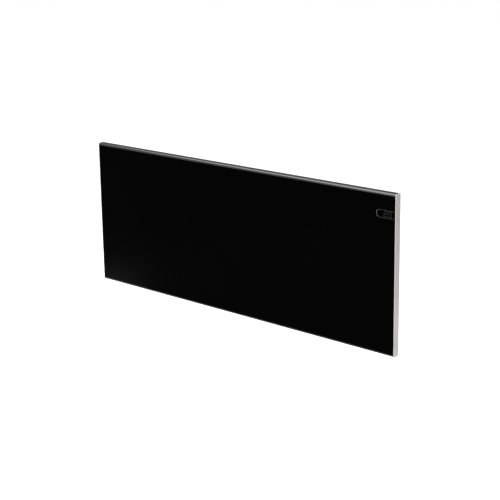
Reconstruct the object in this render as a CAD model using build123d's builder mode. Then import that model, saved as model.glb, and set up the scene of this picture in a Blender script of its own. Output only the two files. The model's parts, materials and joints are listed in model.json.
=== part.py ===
"""Slim radiant panel heater that hangs on a wall bracket.

Millimetres. X runs along the panel to the viewer's right, +Y goes into the wall, +Z is up.
The origin is the middle of the wall screw pattern, on the wall plane.
Depths are written as stand-offs, the distance from the wall out into the room, so a plane
at a stand-off is Plane.XZ.offset(stand_off).
"""

import os

from build123d import *

os.makedirs("parts", exist_ok=True)

# ---- clearances -------------------------------------------------------------------------
seat_gap = 0.3  # between neighbours that only have to fit in beside each other
screw_clearance = 0.05  # radial, screw shank to its hole
pivot_clearance = 0.05  # radial, rocker pin to its hole

# ---- slab -------------------------------------------------------------------------------
panel_width = 1000.0
panel_height = 400.0
panel_depth = 20.0
wall_gap = 40.0
front_radius = 6.0
rear_radius = 3.0

trim_thickness = 1.5
trim_edge_radius = 1.0
tongue_length = 24.0

rail_height = 14.0
rail_wall = 2.0
ledge_reach = 12.0
ledge_thickness = 2.0

glass_thickness = 4.0
bond_thickness = 0.5
bond_width = 14.0
cover_thickness = 1.2

# ---- heating stack ----------------------------------------------------------------------
control_zone_width = 70.0  # cool strip at the right end that holds the display
stack_edge_gap = 2.0
left_stack_margin = 12.0
mica_thickness = 0.6
element_thickness = 0.4
reflector_thickness = 0.5
run_count = 30  # even, so both ends of the track come out at the bottom
run_pitch = 29.0
track_width = 9.0
return_width = 6.0
track_margin = 8.0
tail_overhang = 18.0
lug_length = 10.0
lug_width = 7.0
lug_thickness = 1.5
barrier_thickness = 1.5

cutout_radius = 8.0
cutout_height = 5.0
cutout_pocket_gap = 2.0
cutout_spread = 320.0
cutout_tab_length = 7.0
cutout_tab_width = 4.0
cutout_tab_thickness = 0.8
sensor_length = 12.0
sensor_width = 6.0
sensor_height = 3.0
sensor_offset = 60.0

# ---- display behind the glass -----------------------------------------------------------
display_width = 48.0
display_height = 30.0
display_edge_gap = 7.0  # from the right end trim
display_drop = 52.0  # from the top of the slab to the middle of the display
foil_thickness = 0.5
digits_width = 26.0
digits_height = 18.0
digits_depth = 5.0
digits_border = 2.0  # sensor film left to the right of the digits
segment_length = 6.0
segment_width = 1.6
segment_depth = 0.6
digit_pitch = 13.0
board_thickness = 1.6
post_radius = 2.5
display_post_inset = 3.0

# ---- screws and rivets ------------------------------------------------------------------
screw_radius = 1.5
head_radius = 2.9
head_height = 1.9
socket_width = 2.0
socket_depth = 1.0
rivet_radius = 1.6
rivet_head_radius = 3.2
rivet_head_height = 1.0
cover_screw_count = 7
cover_screw_length = 7.0
trim_screw_length = 9.0
trim_screw_inset = 12.0
display_screw_length = 6.0

# ---- hangers on the rear cover ----------------------------------------------------------
hanger_spacing = 500.0
hanger_height = 300.0
hanger_width = 40.0
hanger_foot = 14.0
hanger_sheet = 1.5
hanger_reach = 23.3  # from the rear cover to the wall side of the hanger
rivet_count = 4
slot_width = 24.0
slot_height = 20.0

# ---- wall bracket -----------------------------------------------------------------------
upright_height = 300.0
upright_width = 36.0
upright_foot = 20.0
upright_depth = 15.0
bracket_sheet = 2.0
hook_width = 16.0
hook_reach = 6.5
hook_thickness = 2.5
hook_rise = 10.0
hook_spacing = 200.0
strap_width = 26.0
strap_rivet_pitch = 14.0
wall_slot_pitch = 240.0  # between the upper and the lower row
wall_slot_length = 12.0
wall_slot_radius = 3.0

# ---- control box on the rear cover ------------------------------------------------------
box_width = 132.0
box_height = 160.0
box_depth = 22.0
box_wall = 2.0
box_corner_radius = 6.0
box_edge_radius = 1.5
box_right_inset = 38.0  # from the right end of the slab
box_middle_height = 20.0
boss_radius = 4.0
boss_inset = 8.0
box_screw_reach = 3.0  # how far a box screw passes the cover's inner face
screw_pocket_radius = 3.0
vent_count = 9
vent_pitch = 9.0
vent_width = 3.0
vent_length = 12.0
vent_drop = 26.0  # from the bottom of the box to the row in its back

board_width = 84.0
board_height = 112.0
board_lift = 4.0
board_shift = -10.0
board_post_inset = 4.0
standoff_radius = 3.0
board_screw_length = 4.5
relay_size = (19.0, 10.5, 15.5)
supply_size = (36.0, 12.0, 24.0)
terminal_size = (30.0, 10.0, 12.0)
terminal_bore = 1.8
terminal_count = 3
fuse_radius = 2.6
fuse_length = 20.0
fuse_clip_width = 3.0
fuse_seat = 2.0
relay_offset = (22.0, 30.0)  # from the middle of the power board, as the next three are
supply_offset = (16.0, 30.0)
terminal_offset = (22.0, 42.0)
fuse_offset = (16.0, 12.0)
earth_inset = 28.0  # from the right side of the box
earth_rise = 12.0  # from the bottom of the box
earth_radius = 2.0
earth_length = 12.0
earth_nut_width = 7.0
earth_nut_height = 3.0

gland_inset = 100.0  # from the right side of the box
gland_radius = 7.5
gland_height = 12.0
gland_collar = 4.0
gland_shank_radius = 6.0
gland_shank_length = 10.0
gland_bore = 3.6
gland_nut_width = 15.0
gland_nut_height = 4.0
gland_round = 2.0

grommet_length = 24.0
grommet_height = 14.0
grommet_wall = 1.8
grommet_lip = 1.5
grommet_inset = 54.0  # from the right end of the slab
lead_radius = 1.3
connector_size = (13.0, 14.0, 18.0)
connector_top = -16.0
connector_edge_radius = 0.8
plug_size = (11.0, 9.0, 7.0)
plug_bottom = 14.0
lead_bend = 4.0
ribbon_width = 6.0
ribbon_thickness = 0.5
ribbon_bend = 2.0

# ---- rocker switch ----------------------------------------------------------------------
switch_height = 55.0
switch_opening = 27.0
switch_opening_depth = 12.0
switch_body_depth = 18.0
switch_flange = 1.5
switch_flange_rim = 1.5
rocker_length = 21.0
rocker_width = 8.4
rocker_crown = 4.2  # how far its ends stand out from the pivot
rocker_dish = 2.0  # how much lower its middle is
rocker_skirt = 3.0
rocker_travel = 16.0  # degrees from off to on
rocker_pin_radius = 1.2
rocker_pin_length = 0.8
rocker_pocket_gap = 1.0
rocker_pocket_depth = 7.5
pivot_depth = 1.0  # pivot below the outside of the box
spade_count = 2
spade_pitch = 10.0
spade_length = 7.0
spade_width = 4.8
spade_thickness = 0.8

# ---- places worked out from the sizes above ---------------------------------------------
half_width = panel_width / 2
half_height = panel_height / 2
rear_face = wall_gap
front_face = wall_gap + panel_depth
slab_middle = (front_face + rear_face) / 2
trim_inner = half_width - trim_thickness
rail_length = 2 * trim_inner
glass_back = front_face - glass_thickness
ledge_face = glass_back - bond_thickness
cover_inner = rear_face + cover_thickness
pane_half_height = half_height - front_radius - seat_gap
pane_half_width = trim_inner - seat_gap
cover_half_height = half_height - rail_height - seat_gap
hollow_depth = ledge_face - rear_face - 2 * rail_wall
hollow_middle = (ledge_face + rear_face) / 2
ledge_edge = half_height - rail_height - ledge_reach
bond_row = (ledge_edge + half_height - front_radius) / 2
cover_screw_row = half_height - rail_height - ledge_reach / 2

stack_half_height = ledge_edge - stack_edge_gap
stack_left = -half_width + left_stack_margin
stack_right = half_width - control_zone_width
stack_width = stack_right - stack_left
stack_middle = (stack_left + stack_right) / 2
element_back = glass_back - mica_thickness
element_rear = element_back - element_thickness
sheet_back = element_rear - mica_thickness
reflector_back = sheet_back - reflector_thickness

first_run = stack_middle - run_pitch * (run_count - 1) / 2
last_run = stack_middle + run_pitch * (run_count - 1) / 2
track_top = stack_half_height - track_margin
return_bottom = -stack_half_height + track_margin / 2
track_bottom = return_bottom + return_width + track_margin
tail_end = stack_right + tail_overhang

display_x = trim_inner - display_edge_gap - display_width / 2
display_z = half_height - display_drop
digits_x = display_x + display_width / 2 - digits_border - digits_width / 2
foil_back = glass_back - foil_thickness
digits_back = foil_back - digits_depth
display_board_back = digits_back - board_thickness
display_post_grid = (
    display_width - 2 * display_post_inset,
    display_height - 2 * display_post_inset,
)

box_right = half_width - box_right_inset
box_x = box_right - box_width / 2
box_bottom = box_middle_height - box_height / 2
pivot_x = box_right - pivot_depth
gland_x = box_right - gland_inset
earth_x = box_right - earth_inset
earth_z = box_bottom + earth_rise
box_back = rear_face - box_depth
box_screw_grid = (box_width - 2 * boss_inset, box_height - 2 * boss_inset)
box_middle_depth = rear_face - box_depth / 2
board_x = box_x + board_shift
board_face = rear_face - board_lift
board_back = board_face - board_thickness
board_post_grid = (board_width - 2 * board_post_inset, board_height - 2 * board_post_inset)
grommet_x = half_width - grommet_inset
ribbon_x = grommet_x + grommet_length / 2 - grommet_wall - ribbon_width / 2 - 2 * seat_gap
ribbon_depth = display_board_back - seat_gap - ribbon_thickness
ribbon_box_depth = rear_face - plug_size[1] / 2

hanger_back = rear_face - hanger_reach
hook_front = upright_depth + hook_reach
wall_slot_spacing = hanger_spacing + upright_width + upright_foot
strap_length = hanger_spacing - upright_width - 2 * seat_gap
strap_rivet_spacing = hanger_spacing - upright_width - upright_foot
hook_top = hook_thickness

# ---- front glass ------------------------------------------------------------------------
with BuildPart() as front_glass:
    with BuildSketch(Plane.XZ.offset(glass_back)):
        Rectangle(2 * pane_half_width, 2 * pane_half_height)
    extrude(amount=glass_thickness)

# ---- top and bottom rails: a box section with a rounded lip above the edge of the glass,
# ---- a ledge behind the glass and one for the cover
with BuildPart() as top_rail:
    with BuildSketch(Plane.YZ.offset(-trim_inner)) as rail_section:
        with Locations((-slab_middle, half_height - rail_height / 2)):
            Rectangle(panel_depth, rail_height)
        crown = rail_section.vertices().group_by(Axis.Y)[-1].sort_by(Axis.X)
        fillet(crown[0], front_radius)
        fillet(rail_section.vertices().group_by(Axis.Y)[-1].sort_by(Axis.X)[-1], rear_radius)
        with Locations((-front_face, half_height - rail_height)):
            Rectangle(
                front_face - ledge_face,
                rail_height - front_radius,
                align=(Align.MIN, Align.MIN),
                mode=Mode.SUBTRACT,
            )
        with Locations((-hollow_middle, half_height - rail_height / 2)):
            Rectangle(hollow_depth, rail_height - 2 * rail_wall, mode=Mode.SUBTRACT)
        with Locations((-ledge_face, ledge_edge)):
            Rectangle(ledge_thickness, ledge_reach, align=(Align.MIN, Align.MIN))
        with Locations((-cover_inner, ledge_edge)):
            Rectangle(ledge_thickness, ledge_reach, align=(Align.MAX, Align.MIN))
    extrude(amount=rail_length)
    with BuildSketch(Plane.XZ.offset(rear_face)):
        with Locations((0, cover_screw_row)):
            with GridLocations(rail_length / cover_screw_count, 0, cover_screw_count, 1):
                Circle(screw_radius + screw_clearance)
    extrude(amount=cover_thickness + ledge_thickness, mode=Mode.SUBTRACT)
    with BuildSketch(Plane.XZ.offset(rear_face)):
        with Locations((0, half_height - rail_height / 2)):
            with GridLocations(2 * (trim_inner - trim_screw_inset), 0, 2, 1):
                Circle(screw_radius + screw_clearance)
    extrude(amount=rail_wall, mode=Mode.SUBTRACT)

with BuildPart() as bottom_rail:
    mirror(top_rail.part, about=Plane.XY)

# ---- end trims: a rounded plate with a tongue into each rail ----------------------------
with BuildPart() as right_end_trim:
    with BuildSketch(Plane.YZ.offset(trim_inner)) as trim_outline:
        with Locations((-slab_middle, 0)):
            Rectangle(panel_depth, panel_height)
        fillet(trim_outline.vertices().group_by(Axis.X)[0], front_radius)
        fillet(trim_outline.vertices().group_by(Axis.X)[-1], rear_radius)
    extrude(amount=trim_thickness)
    fillet(right_end_trim.faces().sort_by(Axis.X)[-1].edges(), trim_edge_radius)
    with BuildSketch(Plane.YZ.offset(trim_inner)):
        with Locations((-hollow_middle, 0)):
            with GridLocations(0, panel_height - rail_height, 1, 2):
                Rectangle(
                    hollow_depth - 2 * seat_gap,
                    rail_height - 2 * rail_wall - 2 * seat_gap,
                )
    extrude(amount=-tongue_length)
    with BuildSketch(Plane.XZ.offset(rear_face)):
        with Locations((trim_inner - trim_screw_inset, 0)):
            with GridLocations(0, panel_height - rail_height, 1, 2):
                Circle(screw_radius + screw_clearance)
    extrude(amount=trim_screw_length + seat_gap, mode=Mode.SUBTRACT)

with BuildPart() as left_end_trim:
    mirror(right_end_trim.part, about=Plane.YZ)

with BuildPart() as trim_screws:
    with BuildSketch(Plane.XZ.offset(rear_face)):
        with GridLocations(2 * (trim_inner - trim_screw_inset), panel_height - rail_height, 2, 2):
            Circle(screw_radius)
    extrude(amount=trim_screw_length)
    with BuildSketch(Plane.XZ.offset(rear_face)):
        with GridLocations(2 * (trim_inner - trim_screw_inset), panel_height - rail_height, 2, 2):
            Circle(head_radius)
    extrude(amount=-head_height)
    with BuildSketch(Plane.XZ.offset(rear_face - head_height)):
        with GridLocations(2 * (trim_inner - trim_screw_inset), panel_height - rail_height, 2, 2):
            RegularPolygon(socket_width / 2, 6, major_radius=False)
    extrude(amount=socket_depth, mode=Mode.SUBTRACT)

# ---- adhesive strips that hold the glass on the front ledges ----------------------------
with BuildPart() as glass_bond_strips:
    with BuildSketch(Plane.XZ.offset(ledge_face)):
        with GridLocations(0, 2 * bond_row, 1, 2):
            Rectangle(2 * pane_half_width - 2 * track_margin, bond_width)
    extrude(amount=bond_thickness)

# ---- heating stack, from the glass backwards --------------------------------------------
with BuildPart() as element_carrier:
    with BuildSketch(Plane.XZ.offset(element_back)):
        with Locations((stack_middle, 0)):
            Rectangle(stack_width, 2 * stack_half_height)
    extrude(amount=mica_thickness)

with BuildPart() as heating_element:
    with BuildSketch(Plane.XZ.offset(element_rear)):
        with Locations((stack_middle, (track_top + track_bottom) / 2)):
            with GridLocations(run_pitch, 0, run_count, 1):
                Rectangle(track_width, track_top - track_bottom)
        with Locations((stack_middle, track_top - track_width / 2)):
            with GridLocations(2 * run_pitch, 0, run_count // 2, 1):
                Rectangle(run_pitch + track_width, track_width)
        with Locations((stack_middle, track_bottom + track_width / 2)):
            with GridLocations(2 * run_pitch, 0, run_count // 2 - 1, 1):
                Rectangle(run_pitch + track_width, track_width)
        with Locations((first_run - track_width / 2, return_bottom)):
            Rectangle(track_width, track_bottom - return_bottom, align=Align.MIN)
            Rectangle(tail_end - first_run + track_width / 2, return_width, align=Align.MIN)
        with Locations((last_run, track_bottom)):
            Rectangle(tail_end - last_run, return_width, align=Align.MIN)
    extrude(amount=element_thickness)

with BuildPart() as element_lugs:
    with BuildSketch(Plane.XZ.offset(element_rear - lug_thickness)):
        with Locations((tail_end - lug_length / 2, return_bottom + return_width / 2)):
            Rectangle(lug_length, lug_width)
        with Locations((tail_end - lug_length / 2, track_bottom + return_width / 2)):
            Rectangle(lug_length, lug_width)
    extrude(amount=lug_thickness)

with BuildPart() as element_cover:
    with BuildSketch(Plane.XZ.offset(sheet_back)):
        with Locations((stack_middle, 0)):
            Rectangle(stack_width, 2 * stack_half_height)
    extrude(amount=mica_thickness)

with BuildPart() as reflector_sheet:
    with BuildSketch(Plane.XZ.offset(reflector_back)):
        with Locations((stack_middle, 0)):
            Rectangle(stack_width, 2 * stack_half_height)
    extrude(amount=reflector_thickness)

with BuildPart() as insulation_board:
    with BuildSketch(Plane.XZ.offset(cover_inner)):
        with Locations((stack_middle, 0)):
            Rectangle(stack_width, 2 * stack_half_height)
            with GridLocations(cutout_spread, 0, 2, 1):
                SlotOverall(
                    2 * (cutout_radius + cutout_tab_length + cutout_pocket_gap),
                    2 * (cutout_radius + cutout_pocket_gap),
                    mode=Mode.SUBTRACT,
                )
            with Locations((0, sensor_offset)):
                Rectangle(
                    sensor_length + 2 * cutout_pocket_gap,
                    sensor_width + 2 * cutout_pocket_gap,
                    mode=Mode.SUBTRACT,
                )
    extrude(amount=reflector_back - cover_inner)
    with BuildSketch(Plane.XZ.offset(cover_inner)):
        with Locations((box_x, box_middle_height)):
            with GridLocations(*box_screw_grid, 2, 2):
                Circle(screw_pocket_radius)
    extrude(amount=box_screw_reach + seat_gap, mode=Mode.SUBTRACT)

with BuildPart() as thermal_cutouts:
    with BuildSketch(Plane.XZ.offset(reflector_back - cutout_height)):
        with Locations((stack_middle, 0)):
            with GridLocations(cutout_spread, 0, 2, 1):
                Circle(cutout_radius)
    extrude(amount=cutout_height)
    with BuildSketch(Plane.XZ.offset(reflector_back - cutout_height)):
        with Locations((stack_middle, 0)):
            with GridLocations(cutout_spread, 0, 2, 1):
                Rectangle(2 * (cutout_radius + cutout_tab_length), cutout_tab_width)
    extrude(amount=cutout_tab_thickness)

with BuildPart() as temperature_sensor:
    with BuildSketch(Plane.XZ.offset(reflector_back - sensor_height)):
        with Locations((stack_middle, sensor_offset)):
            SlotOverall(sensor_length, sensor_width)
    extrude(amount=sensor_height)

# ---- strip that keeps the heat out of the control zone ----------------------------------
with BuildPart() as heat_barrier:
    with BuildSketch(Plane.XZ.offset(cover_inner)):
        with Locations((stack_right + seat_gap, 0)):
            Rectangle(
                barrier_thickness,
                2 * stack_half_height,
                align=(Align.MIN, Align.CENTER),
            )
    extrude(amount=glass_back - cover_inner)
    with BuildSketch(Plane.XZ.offset(sheet_back)):
        with Locations((stack_right + seat_gap, -stack_half_height)):
            Rectangle(
                barrier_thickness,
                track_bottom + return_width + stack_half_height + seat_gap,
                align=Align.MIN,
            )
    extrude(amount=glass_back - sheet_back, mode=Mode.SUBTRACT)

# ---- display behind the glass -----------------------------------------------------------
with BuildPart() as touch_foil:
    with BuildSketch(Plane.XZ.offset(foil_back)):
        with Locations((display_x, display_z)):
            Rectangle(display_width, display_height)
        with Locations((digits_x, display_z)):
            Rectangle(digits_width, digits_height, mode=Mode.SUBTRACT)
    extrude(amount=foil_thickness)

with BuildPart() as digit_module:
    with BuildSketch(Plane.XZ.offset(digits_back)):
        with Locations((digits_x, display_z)):
            Rectangle(digits_width, digits_height)
    extrude(amount=digits_depth)
    with BuildSketch(Plane.XZ.offset(foil_back - segment_depth)):
        with Locations((digits_x, display_z)):
            with GridLocations(digit_pitch, segment_length + segment_width, 2, 3):
                Rectangle(segment_length - segment_width, segment_width)
            with GridLocations(digit_pitch, segment_length + segment_width, 2, 2):
                with GridLocations(segment_length + segment_width / 2, 0, 2, 1):
                    Rectangle(segment_width, segment_length)
    extrude(amount=segment_depth, mode=Mode.SUBTRACT)

with BuildPart() as display_board:
    with BuildSketch(Plane.XZ.offset(display_board_back)):
        with Locations((display_x, display_z)):
            Rectangle(display_width, display_height)
    extrude(amount=board_thickness)

with BuildPart() as display_posts:
    with BuildSketch(Plane.XZ.offset(cover_inner)):
        with Locations((display_x, display_z)):
            with GridLocations(*display_post_grid, 2, 2):
                Circle(post_radius)
                Circle(screw_radius + screw_clearance, mode=Mode.SUBTRACT)
    extrude(amount=display_board_back - cover_inner)

with BuildPart() as display_screws:
    with BuildSketch(Plane.XZ.offset(rear_face)):
        with Locations((display_x, display_z)):
            with GridLocations(*display_post_grid, 2, 2):
                Circle(screw_radius)
    extrude(amount=display_screw_length)
    with BuildSketch(Plane.XZ.offset(rear_face)):
        with Locations((display_x, display_z)):
            with GridLocations(*display_post_grid, 2, 2):
                Circle(head_radius)
    extrude(amount=-head_height)
    with BuildSketch(Plane.XZ.offset(rear_face - head_height)):
        with Locations((display_x, display_z)):
            with GridLocations(*display_post_grid, 2, 2):
                RegularPolygon(socket_width / 2, 6, major_radius=False)
    extrude(amount=socket_depth, mode=Mode.SUBTRACT)

# ---- rear cover -------------------------------------------------------------------------
with BuildPart() as rear_cover:
    with BuildSketch(Plane.XZ.offset(rear_face)):
        Rectangle(2 * pane_half_width, 2 * cover_half_height)
        with GridLocations(rail_length / cover_screw_count, 2 * cover_screw_row, cover_screw_count, 2):
            Circle(screw_radius + screw_clearance, mode=Mode.SUBTRACT)
        with Locations((display_x, display_z)):
            with GridLocations(*display_post_grid, 2, 2):
                Circle(screw_radius + screw_clearance, mode=Mode.SUBTRACT)
        with Locations((box_x, box_middle_height)):
            with GridLocations(*box_screw_grid, 2, 2):
                Circle(screw_radius + screw_clearance, mode=Mode.SUBTRACT)
        with Locations((grommet_x, 0)):
            SlotOverall(
                grommet_length + 2 * screw_clearance,
                grommet_height + 2 * screw_clearance,
                mode=Mode.SUBTRACT,
            )
        with GridLocations(hanger_spacing, 0, 2, 1):
            with GridLocations(hanger_width + hanger_foot, hanger_height / rivet_count, 2, rivet_count):
                Circle(rivet_radius + screw_clearance, mode=Mode.SUBTRACT)
    extrude(amount=cover_thickness)

with BuildPart() as rear_cover_screws:
    with BuildSketch(Plane.XZ.offset(rear_face)):
        with GridLocations(rail_length / cover_screw_count, 2 * cover_screw_row, cover_screw_count, 2):
            Circle(screw_radius)
    extrude(amount=cover_screw_length)
    with BuildSketch(Plane.XZ.offset(rear_face)):
        with GridLocations(rail_length / cover_screw_count, 2 * cover_screw_row, cover_screw_count, 2):
            Circle(head_radius)
    extrude(amount=-head_height)
    with BuildSketch(Plane.XZ.offset(rear_face - head_height)):
        with GridLocations(rail_length / cover_screw_count, 2 * cover_screw_row, cover_screw_count, 2):
            RegularPolygon(socket_width / 2, 6, major_radius=False)
    extrude(amount=socket_depth, mode=Mode.SUBTRACT)

# ---- grommet, leads and ribbon between slab and control box -----------------------------
with BuildPart() as lead_grommet:
    with BuildSketch(Plane.XZ.offset(rear_face - grommet_lip)):
        with Locations((grommet_x, 0)):
            SlotOverall(grommet_length, grommet_height)
    extrude(amount=cover_thickness + 2 * grommet_lip)
    with BuildSketch(Plane.XZ.offset(rear_face - grommet_lip)):
        with Locations((grommet_x, 0)):
            SlotOverall(grommet_length + 2 * grommet_lip, grommet_height + 2 * grommet_lip)
    extrude(amount=grommet_lip)
    with BuildSketch(Plane.XZ.offset(cover_inner)):
        with Locations((grommet_x, 0)):
            SlotOverall(grommet_length + 2 * grommet_lip, grommet_height + 2 * grommet_lip)
    extrude(amount=grommet_lip)
    with BuildSketch(Plane.XZ.offset(rear_face - grommet_lip)):
        with Locations((grommet_x, 0)):
            SlotOverall(grommet_length - 2 * grommet_wall, grommet_height - 2 * grommet_wall)
    extrude(amount=cover_thickness + 2 * grommet_lip, mode=Mode.SUBTRACT)

lead_x = (tail_end - 4 * lead_radius, tail_end - 7 * lead_radius)
lead_ends = (return_bottom + return_width / 2, track_bottom + return_width / 2)
lead_depth = element_rear - lug_thickness - seat_gap - lead_radius
lead_box_depth = rear_face - connector_size[1] / 2

with BuildPart() as element_leads:
    for across, low_end in zip(lead_x, lead_ends):
        with BuildLine() as lead_path:
            FilletPolyline(
                (across, -lead_depth, low_end),
                (across, -lead_depth, 0),
                (across, -lead_box_depth, 0),
                (across, -lead_box_depth, connector_top + seat_gap),
                radius=lead_bend,
            )
        with BuildSketch(Plane(lead_path.line @ 0, z_dir=lead_path.line % 0)):
            Circle(lead_radius)
        sweep()

with BuildPart() as lead_connector:
    with BuildSketch(Plane.XZ.offset(rear_face - connector_size[1])):
        with Locations(((lead_x[0] + lead_x[1]) / 2, connector_top)):
            Rectangle(connector_size[0], connector_size[2], align=(Align.CENTER, Align.MAX))
    extrude(amount=connector_size[1])
    fillet(lead_connector.edges().filter_by(Axis.Y), connector_edge_radius)

with BuildPart() as display_ribbon:
    with BuildLine() as ribbon_path:
        FilletPolyline(
            (ribbon_x, -ribbon_depth, display_z),
            (ribbon_x, -ribbon_depth, ribbon_width / 4),
            (ribbon_x, -ribbon_box_depth, ribbon_width / 4),
            (ribbon_x, -ribbon_box_depth, plug_bottom - seat_gap),
            radius=ribbon_bend,
        )
    with BuildSketch(Plane(ribbon_path.line @ 0, x_dir=(1, 0, 0), z_dir=ribbon_path.line % 0)):
        Rectangle(ribbon_width, ribbon_thickness)
    sweep()

with BuildPart() as ribbon_plug:
    with BuildSketch(Plane.XZ.offset(rear_face - plug_size[1])):
        with Locations((ribbon_x, plug_bottom)):
            Rectangle(plug_size[0], plug_size[2], align=(Align.CENTER, Align.MIN))
    extrude(amount=plug_size[1])
    chamfer(ribbon_plug.faces().sort_by(Axis.Y)[-1].edges(), connector_edge_radius)

# ---- hangers and their rivets -----------------------------------------------------------
with BuildPart() as right_hanger:
    with BuildSketch(Plane.XY.offset(-hanger_height / 2)):
        with Locations((hanger_spacing / 2, -rear_face)):
            Rectangle(
                hanger_width + 2 * hanger_foot,
                hanger_sheet,
                align=(Align.CENTER, Align.MIN),
            )
            Rectangle(hanger_width, hanger_reach, align=(Align.CENTER, Align.MIN))
            Rectangle(
                hanger_width - 2 * hanger_sheet,
                hanger_reach - hanger_sheet,
                align=(Align.CENTER, Align.MIN),
                mode=Mode.SUBTRACT,
            )
    extrude(amount=hanger_height)
    fillet(
        right_hanger.edges()
        .filter_by(Axis.Z)
        .filter_by(lambda edge: edge.center().Y > -hanger_back - hanger_sheet / 2),
        hanger_sheet,
    )
    with BuildSketch(Plane.XZ.offset(hanger_back)):
        with Locations((hanger_spacing / 2, hook_top - slot_height / 2)):
            with GridLocations(0, hook_spacing, 1, 2):
                Rectangle(slot_width, slot_height)
    extrude(amount=hanger_sheet, mode=Mode.SUBTRACT)
    with BuildSketch(Plane.XZ.offset(rear_face)):
        with Locations((hanger_spacing / 2, 0)):
            with GridLocations(hanger_width + hanger_foot, hanger_height / rivet_count, 2, rivet_count):
                Circle(rivet_radius + screw_clearance)
    extrude(amount=-hanger_sheet, mode=Mode.SUBTRACT)

with BuildPart() as left_hanger:
    mirror(right_hanger.part, about=Plane.YZ)

with BuildPart() as hanger_rivets:
    with BuildSketch(Plane.XZ.offset(rear_face - hanger_sheet)):
        with GridLocations(hanger_spacing, 0, 2, 1):
            with GridLocations(hanger_width + hanger_foot, hanger_height / rivet_count, 2, rivet_count):
                Circle(rivet_radius)
    extrude(amount=hanger_sheet + cover_thickness)
    with BuildSketch(Plane.XZ.offset(rear_face - hanger_sheet)):
        with GridLocations(hanger_spacing, 0, 2, 1):
            with GridLocations(hanger_width + hanger_foot, hanger_height / rivet_count, 2, rivet_count):
                Circle(rivet_head_radius)
    extrude(amount=-rivet_head_height)

# ---- wall bracket: two uprights with hooks, joined by two straps ------------------------
with BuildPart() as right_upright:
    with BuildSketch(Plane.XY.offset(-upright_height / 2)):
        with Locations((hanger_spacing / 2, 0)):
            Rectangle(
                upright_width + 2 * upright_foot,
                bracket_sheet,
                align=(Align.CENTER, Align.MAX),
            )
            Rectangle(upright_width, upright_depth, align=(Align.CENTER, Align.MAX))
            Rectangle(
                upright_width - 2 * bracket_sheet,
                upright_depth - bracket_sheet,
                align=(Align.CENTER, Align.MAX),
                mode=Mode.SUBTRACT,
            )
    extrude(amount=upright_height)
    fillet(
        right_upright.edges()
        .filter_by(Axis.Z)
        .filter_by(lambda edge: edge.center().Y < -upright_depth + bracket_sheet / 2),
        bracket_sheet,
    )
    with BuildSketch(Plane.YZ.offset((hanger_spacing - hook_width) / 2)):
        with GridLocations(0, hook_spacing, 1, 2):
            with Locations((-upright_depth, hook_top)):
                Rectangle(hook_reach, hook_thickness, align=(Align.MAX, Align.MAX))
            with Locations((-hook_front, 0)):
                Rectangle(bracket_sheet, hook_top + hook_rise, align=(Align.MIN, Align.MIN))
    extrude(amount=hook_width)
    with BuildSketch(Plane.XZ):
        with Locations((wall_slot_spacing / 2, 0)):
            with GridLocations(0, wall_slot_pitch, 1, 2):
                SlotOverall(wall_slot_length, 2 * wall_slot_radius)
        with Locations((strap_rivet_spacing / 2, 0)):
            with GridLocations(0, wall_slot_pitch, 1, 2):
                with GridLocations(0, strap_rivet_pitch, 1, 2):
                    Circle(rivet_radius + screw_clearance)
    extrude(amount=bracket_sheet, mode=Mode.SUBTRACT)

with BuildPart() as left_upright:
    mirror(right_upright.part, about=Plane.YZ)

with BuildPart() as upper_strap:
    with BuildSketch(Plane.XZ.offset(bracket_sheet)):
        with Locations((0, wall_slot_pitch / 2)):
            Rectangle(strap_length, strap_width)
            with GridLocations(strap_rivet_spacing, strap_rivet_pitch, 2, 2):
                Circle(rivet_radius + screw_clearance, mode=Mode.SUBTRACT)
    extrude(amount=bracket_sheet)

with BuildPart() as lower_strap:
    mirror(upper_strap.part, about=Plane.XY)

with BuildPart() as strap_rivets:
    with BuildSketch(Plane.XZ):
        with GridLocations(strap_rivet_spacing, wall_slot_pitch, 2, 2):
            with GridLocations(0, strap_rivet_pitch, 1, 2):
                Circle(rivet_radius)
    extrude(amount=2 * bracket_sheet)
    with BuildSketch(Plane.XZ.offset(2 * bracket_sheet)):
        with GridLocations(strap_rivet_spacing, wall_slot_pitch, 2, 2):
            with GridLocations(0, strap_rivet_pitch, 1, 2):
                Circle(rivet_head_radius)
    extrude(amount=rivet_head_height)

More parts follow.
